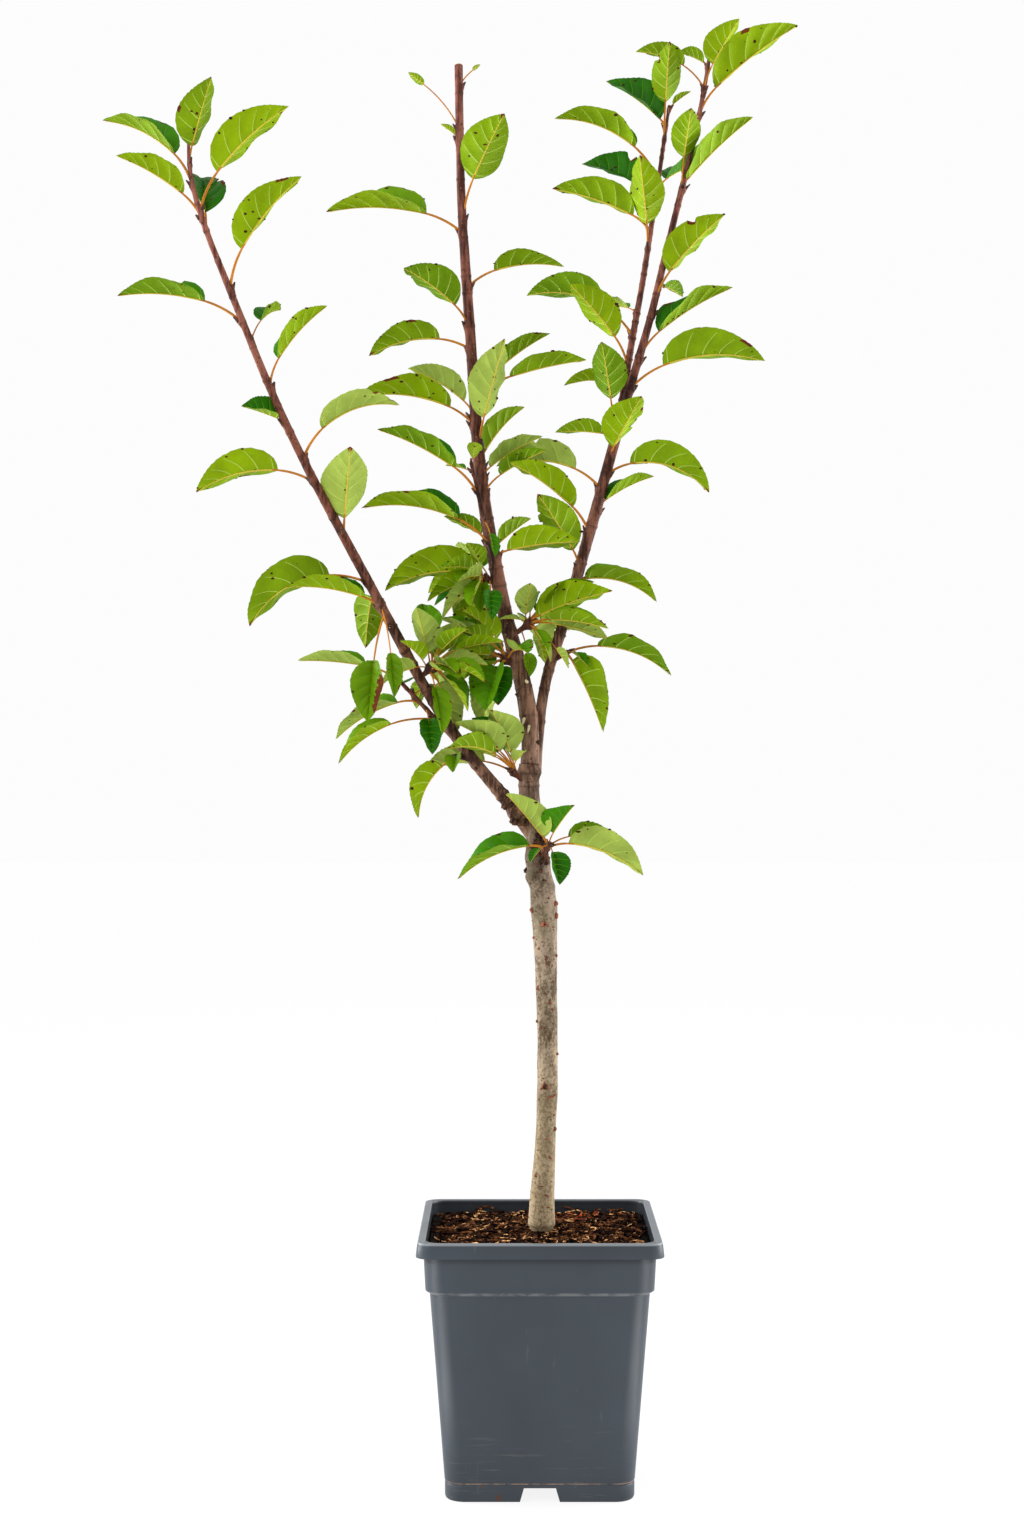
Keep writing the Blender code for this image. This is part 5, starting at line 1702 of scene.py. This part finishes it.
def bark_rings(limb, low, high, sides, step, age, lumps=(), bands=(), rough=1.0, flare=0.0):
    """Rings of bark between two shares of a limb, and how young each of their points is."""
    span = limb.length() * (high - low)
    count = max(4, int(span / step))
    rings, ages, marks = [], [], []
    for ring in range(count + 1):
        share = low + (high - low) * ring / count
        along = limb.heading(share)
        across = Vector((0, 1, 0)).cross(along).normalized()
        behind = along.cross(across)
        middle, radius = limb.at(share), limb.radius(share)
        travelled = span * ring / count
        mark = 0.0
        for place, breadth, height in bands:
            gap = (share - place) * limb.length() / (breadth * MM)
            radius += height * MM * math.exp(-gap * gap)
            mark = max(mark, min(1.0, height * 1.6) * math.exp(-((gap + 0.9) * 1.6) ** 2))
        radius += flare * math.exp(-travelled / (9 * MM))
        if flare:
            radius *= 0.7 + 0.3 * min(1.0, travelled / (6 * MM))
        row = []
        for side in range(sides):
            turn = 2 * math.pi * side / sides
            out = across * math.cos(turn) + behind * math.sin(turn)
            point = middle + out * radius
            grain = noise.noise(Vector((point.x * GRAIN, point.y * GRAIN, point.z * GRAIN_ALONG)))
            broad = noise.noise(point * LUMPS)
            push = (grain * 0.16 + broad * 0.3) * MM * rough * min(1, radius / (4 * MM))
            row.append((point + out * push, out))
        rings.append(row)
        ages += [eased(age, share)] * sides
        marks += [mark] * sides
    points = np.array([[tuple(point) for point, out in row] for row in rings])
    outs = np.array([[tuple(out) for point, out in row] for row in rings])
    push = np.zeros(points.shape[:2])
    for spot, reach, height in lumps:
        push += swelling(points, spot, reach * MM, height * MM)
    marks = np.maximum(np.array(marks), np.clip(push.ravel() / MM - 0.55, 0, 0.7))
    return (points + outs * push[..., None]).tolist(), ages, marks.tolist()


def leaf_lumps(names, line, height=1.1):
    """A swelling on the limb's face under every leaf that it carries."""
    lumps = []
    for name, root, row in LEAVES:
        if name in names and STRETCHES[name][0] is line:
            bearing = math.radians(row[1])
            out = Vector((math.cos(bearing), math.sin(bearing), 0.1)) * line.radius(row[0])
            lumps.append((root + out, 2.6, height))
    return lumps


def even_bands(low, high, count, seed, height):
    """Growth rings at seeded places along a limb."""
    chance = random.Random(seed)
    gap = (high - low) / count
    bands = []
    for k in range(count):
        place, breadth = low + gap * (k + chance.uniform(0.2, 0.8)), chance.uniform(0.7, 1.5)
        bands.append((place, breadth, chance.uniform(0.4, 1) * height))
    return bands


print("bark rule ready")

# %% Make the bark
trunk_skin = Skin()
trunk_lumps = [
    (trunk.at(share) + Vector((aside * MM, back * MM, 0)), reach, height)
    for share, aside, back, reach, height in (
        (0.76, -9, -4, 6.5, 4.2), (0.8, -9, -3, 7, 2.6), (0.8, 4, -9, 7, 1.6),
        (0.74, 9, -3, 4.5, 1.3), (0.66, 0, -8, 3, 0.8), (0.31, -1, -8, 3.4, 0.9),
        (0.98, 6, -4, 4, 1.8), (0.9, -6, -4, 5, 0.9),
    )
]
rings, ages, marks = bark_rings(
    trunk, 0, 1, 56, 1.1 * MM, (0.0, 0.04, 0.07, 0.1, 0.18, 0.25, 0.38), trunk_lumps,
    [(0.985, 2.2, 1.3), (0.955, 1.2, 0.5), (0.79, 2.4, 0.5), (0.83, 2.5, 0.5)], 1.4, 0.2 * MM,
)
foot = [(x, y, COMPOST_TOP - 5 * MM) for x, y, z in rings[0]]
trunk_skin.rings([foot] + rings, young=[0.0] * 56 + ages, ring=[0.0] * 56 + marks)
trunk_bark = finish_piece(trunk_skin.piece("trunk_bark", [BARK], sharp=180), "bark", "trunk")

limb_skin = Skin()
LIMB_AGES = (0.36, 0.46, 0.56, 0.62, 0.68, 0.76, 0.84, 0.92, 1.0)
for line, names, seed in (
    (left, ("left_shoot_top", "left_shoot_low"), 3),
    (centre, ("centre_shoot_top", "centre_shoot_low"), 8),
    (right, ("right_shoot_low", "right_outer_shoot"), 14),
    (inner, ("right_inner_shoot",), 21),
):
    start_age = LIMB_AGES if line is not inner else LIMB_AGES[4:]
    bands = even_bands(0.06, 0.36, 10, seed, 0.8) + even_bands(0.36, 0.97, 15, seed + 1, 0.5)
    if line is left:
        bands += [(0.035, 4, 1.7), (0.06, 1.6, 0.9)]
    rings, ages, marks = bark_rings(
        line, 0, 1, 30, 1.3 * MM, start_age, leaf_lumps(names, line), bands, 0.8
    )
    limb_skin.rings(rings, young=ages, ring=marks)
for name, line in TWIGS.items():
    rings, ages, marks = bark_rings(
        line, 0, 1, 14, 1.2 * MM, (0.55, 0.62, 0.7), leaf_lumps((name,), line, 0.5),
        even_bands(0.3, 0.95, 4, len(name), 0.35), 0.7,
    )
    limb_skin.rings(rings, young=ages, ring=marks)
woody = ["left_bough", "centre_bough", "right_bough"] + list(ORDER)
limb_bark = finish_piece(limb_skin.piece("limb_bark", [BARK], sharp=180), "bark", *woody)

# %% [markdown]
# ## Buds, scars and lenticels
# A bud sits in the angle over every leaf stalk. On the trunk there are reddish triangular
# scars where branches were cut, a heap of dark knots lies on its knob and on the foot of the
# left bough, and the fork has pale healed wounds. Lenticels, the small breathing pores, are
# scattered over the bark by another tree, standing out from it.

# %% Scatter the buds and lenticels
def bud_growth(finish):
    """One pointed bud on each point of the base, along the direction that the point carries."""
    growth = Growth("buds", {"Length": 0.0035})
    aim = growth.node("GeometryNodeInputNamedAttribute", {"data_type": "FLOAT_VECTOR"}, {
        "Name": "aim",
    })
    turned = growth.node("FunctionNodeAlignRotationToVector", {"axis": "Z"}, {"Vector": aim})
    bud = growth.node("GeometryNodeMeshCone", None, {
        "Vertices": 8, "Side Segments": 3, "Radius Top": 0.12, "Radius Bottom": 0.36, "Depth": 1.0,
    })
    shape = growth.random_vector((0.8, 0.8, 0.8), (1.3, 1.3, 1.4), 7)
    size = growth.scaled(shape, growth.given("Length"))
    return growth.copied(bud, growth.given("Geometry"), turned, size, finish)


def bud_points():
    """A point over every leaf stalk, with the direction that its bud points in."""
    places, aims = [], []
    for name, root, row in LEAVES:
        line, bearing = STRETCHES[name][0], math.radians(row[1])
        out = Vector((math.cos(bearing), math.sin(bearing), 0))
        heading = line.heading(row[0])
        places.append(root + out * (line.radius(row[0]) * 0.95) + heading * 1.6 * MM)
        aims.append((heading * 1.0 + out * 0.75).normalized())
    mesh = bpy.data.meshes.new("bud_points")
    mesh.from_pydata([tuple(place) for place in places], [], [])
    flat = [number for aim in aims for number in aim]
    mesh.attributes.new("aim", "FLOAT_VECTOR", "POINT").data.foreach_set("vector", flat)
    return mesh


def lenticel_growth(finish):
    """Small raised pores, flat against the bark."""
    growth = Growth("lenticels", {"Number": 8000.0, "Length": 0.0007, "Seed": 1})
    points = growth.strewn(growth.given("Number"))
    pore = growth.node("GeometryNodeMeshIcoSphere", None, {"Radius": 1.0, "Subdivisions": 1})
    shape = growth.random_vector((0.6, 0.35, 0.3), (1.3, 0.7, 0.5), growth.given("Seed") + 1)
    size = growth.scaled(shape, growth.given("Length"))
    return growth.copied(pore, points, growth.flat_on(points), size, finish)


buds = run_tree("buds", bud_growth(BUD), bud_points(), {"Length": 0.0044})
finish_piece(buds, "bark", *ORDER)
for name, finish, bark, nodes, length, seed in (
    ("trunk_lenticels", BUD, trunk_bark, ["trunk"], 0.0009, 6),
    ("limb_lenticels", LENTICEL, limb_bark, woody, 0.00062, 9),
):
    pores = run_tree(name, lenticel_growth(finish), bark.data.copy(), {
        "Number": 9000.0, "Length": length, "Seed": seed,
    })
    finish_piece(pores, "bark", *nodes)


# %% Scars and the cut tip
def blister(skin, limb, share, bearing, breadth, height, swell, corners=14, uneven=0.4):
    """A closed, low crust on a limb's face: its breadth across, its height along and how far
    it stands out, in millimetres."""
    breadth, height, swell = breadth * MM, height * MM, swell * MM
    turn = math.radians(bearing)
    out = Vector((math.cos(turn), math.sin(turn), 0))
    along = limb.heading(share)
    out = (out - along * out.dot(along)).normalized()
    across = along.cross(out)
    radius = limb.radius(share)
    lean = uneven * math.sin(share * 900 + bearing)
    rings = []
    for ring in range(6):
        lift, size = math.sin(ring / 5 * math.pi / 2), math.cos(ring / 5 * math.pi / 2) + 0.02
        row = []
        for k in range(corners):
            angle = math.pi / 2 + 2 * math.pi * k / corners
            here = Vector((math.cos(angle), math.sin(angle), share * 90 + bearing))
            ragged = 1 + uneven * noise.noise(here * 1.3)
            side = math.cos(angle) * breadth / 2 * size * ragged
            up = math.sin(angle) * height / 2 * size * ragged
            side, up = side - up * lean, up + side * lean
            wrapped = out * math.cos(side / radius) + across * math.sin(side / radius)
            bumpy = lift * (1 + uneven * noise.noise(Vector((side, up, share)) * 700))
            row.append(limb.at(share) + wrapped * (radius - 0.7 * MM + bumpy * swell) + along * up)
        rings.append(row)
    skin.rings(rings)


def crusts(name, finish, sharp, nodes, *groups):
    """One piece from groups of crusts: their limb, a row for each, and what they share."""
    skin = Skin()
    for limb, rows, manner in groups:
        for row in rows:
            blister(skin, limb, *row, **manner)
    finish_piece(skin.piece(name, [finish], sharp=sharp), "bark", *nodes)


crusts("bud_scars", SCAR, 60, ["trunk"], (trunk, (
    (0.659, 268, 10, 8, 2.4), (0.311, 256, 12, 9, 2.6),
), {"corners": 3, "uneven": 0.1}), (trunk, (
    (0.29, 300, 12, 1.6, 1.5), (0.675, 335, 3.6, 5, 2.4), (0.7, 335, 4, 4.5, 2.6),
    (0.69, 205, 3.4, 4, 2.4), (0.63, 200, 3.2, 3, 2.1), (0.59, 335, 3.2, 3, 2.1),
    (0.45, 195, 3, 3, 2.0), (0.49, 285, 3.4, 2.2, 1.6), (0.22, 330, 3.2, 4, 2.0),
    (0.12, 225, 3.2, 2.4, 1.8), (0.38, 340, 3.2, 2.8, 2.0), (0.25, 318, 3, 2, 1.6),
    (0.52, 215, 3, 2.8, 2.0), (0.16, 300, 3.6, 1.4, 1.5), (0.08, 290, 6, 1.2, 1.5),
    (0.1, 262, 5, 1, 1.4), (0.055, 300, 4, 1.2, 1.4), (0.2, 275, 4, 1.2, 1.4),
    (0.985, 275, 9, 1.8, 1.8),
), {}))
gnarled = {"uneven": 0.7}
crusts("knots", KNOT, 60, ["trunk", *woody], (trunk, (
    (0.659, 268, 3, 2.4, 3.0), (0.311, 256, 4, 3, 3.2), (0.842, 296, 9, 5, 3.4),
    (0.832, 268, 7, 6, 3.2), (0.822, 288, 11, 6, 3.6), (0.82, 250, 5, 5, 3.0),
    (0.808, 272, 11, 6, 3.6), (0.803, 300, 9, 6, 4.0), (0.792, 282, 10, 5, 3.2),
    (0.787, 305, 6, 4, 3.2), (0.772, 272, 4, 3, 2.4), (0.815, 316, 8, 7, 4.4),
    (0.83, 322, 6, 5, 4.0), (0.752, 288, 5, 2, 2.0), (0.775, 190, 3.4, 9, 4.6),
    (0.795, 202, 4, 5, 3.0), (0.81, 240, 5, 2, 2.0),
), gnarled), (left, (
    (0.02, 262, 12, 6, 2.8), (0.036, 246, 13, 5, 3.2), (0.05, 226, 11, 5, 3.0),
    (0.028, 206, 9, 7, 3.8), (0.046, 282, 9, 4, 2.6), (0.062, 255, 7, 3, 2.2),
    (0.105, 232, 4, 3, 2.0), (0.19, 235, 3, 3, 1.8), (0.255, 200, 3, 3, 2.2),
), gnarled), (centre, (
    (0.19, 250, 5, 3, 2.0), (0.175, 290, 5, 2.4, 2.0),
), gnarled), (right, (
    (0.14, 250, 4, 3, 2.0), (0.2, 200, 3, 3, 2.0),
), gnarled), (centre, (
    (0.03, 330, 4, 3, 2.0), (0.1, 200, 3, 3, 2.0),
), gnarled))
crusts("healed_wounds", CREAM, 180, ["centre_bough"], (centre, (
    (0.062, 232, 3, 9, 1.0), (0.05, 262, 2.4, 7, 1.0), (0.115, 300, 3.5, 5, 1.0),
), {}))

tip_skin = Skin()
end, along = centre.at(1.0), centre.heading(1.0)
tip_skin.rings(thread(
    [end - along * MM, end + along * 0.6 * MM, end + along * 1.0 * MM],
    [2.9 * MM, 2.9 * MM, 2.3 * MM], round_turns(20),
))
finish_piece(tip_skin.piece("cut_tip", [CUT_WOOD], sharp=50), "bark", "centre_shoot_top")

# %% [markdown]
# ## Floor
# The floor is staging, not part of the tree. It glows as white as the world does, like the
# top of a light table, so no shadow and no horizon shows.

# %% Floor
FLOOR_REACH = 12
floor_finish = Finish("studio_floor", 1.0, 0.0)
floor_finish.feed("Base Color", (0.12, 0.12, 0.12))
floor_finish.feed("Emission Color", (1.0, 1.0, 1.0))
floor_finish.feed("Emission Strength", 0.87)
floor_skin = Skin()
floor_skin.rings([
    [(x * FLOOR_REACH, y * FLOOR_REACH, z) for x, y in ((-1, -1), (1, -1), (1, 1), (-1, 1))]
    for z in (-0.02, -0.0002)
])
floor = floor_skin.piece("floor", [floor_finish.material])
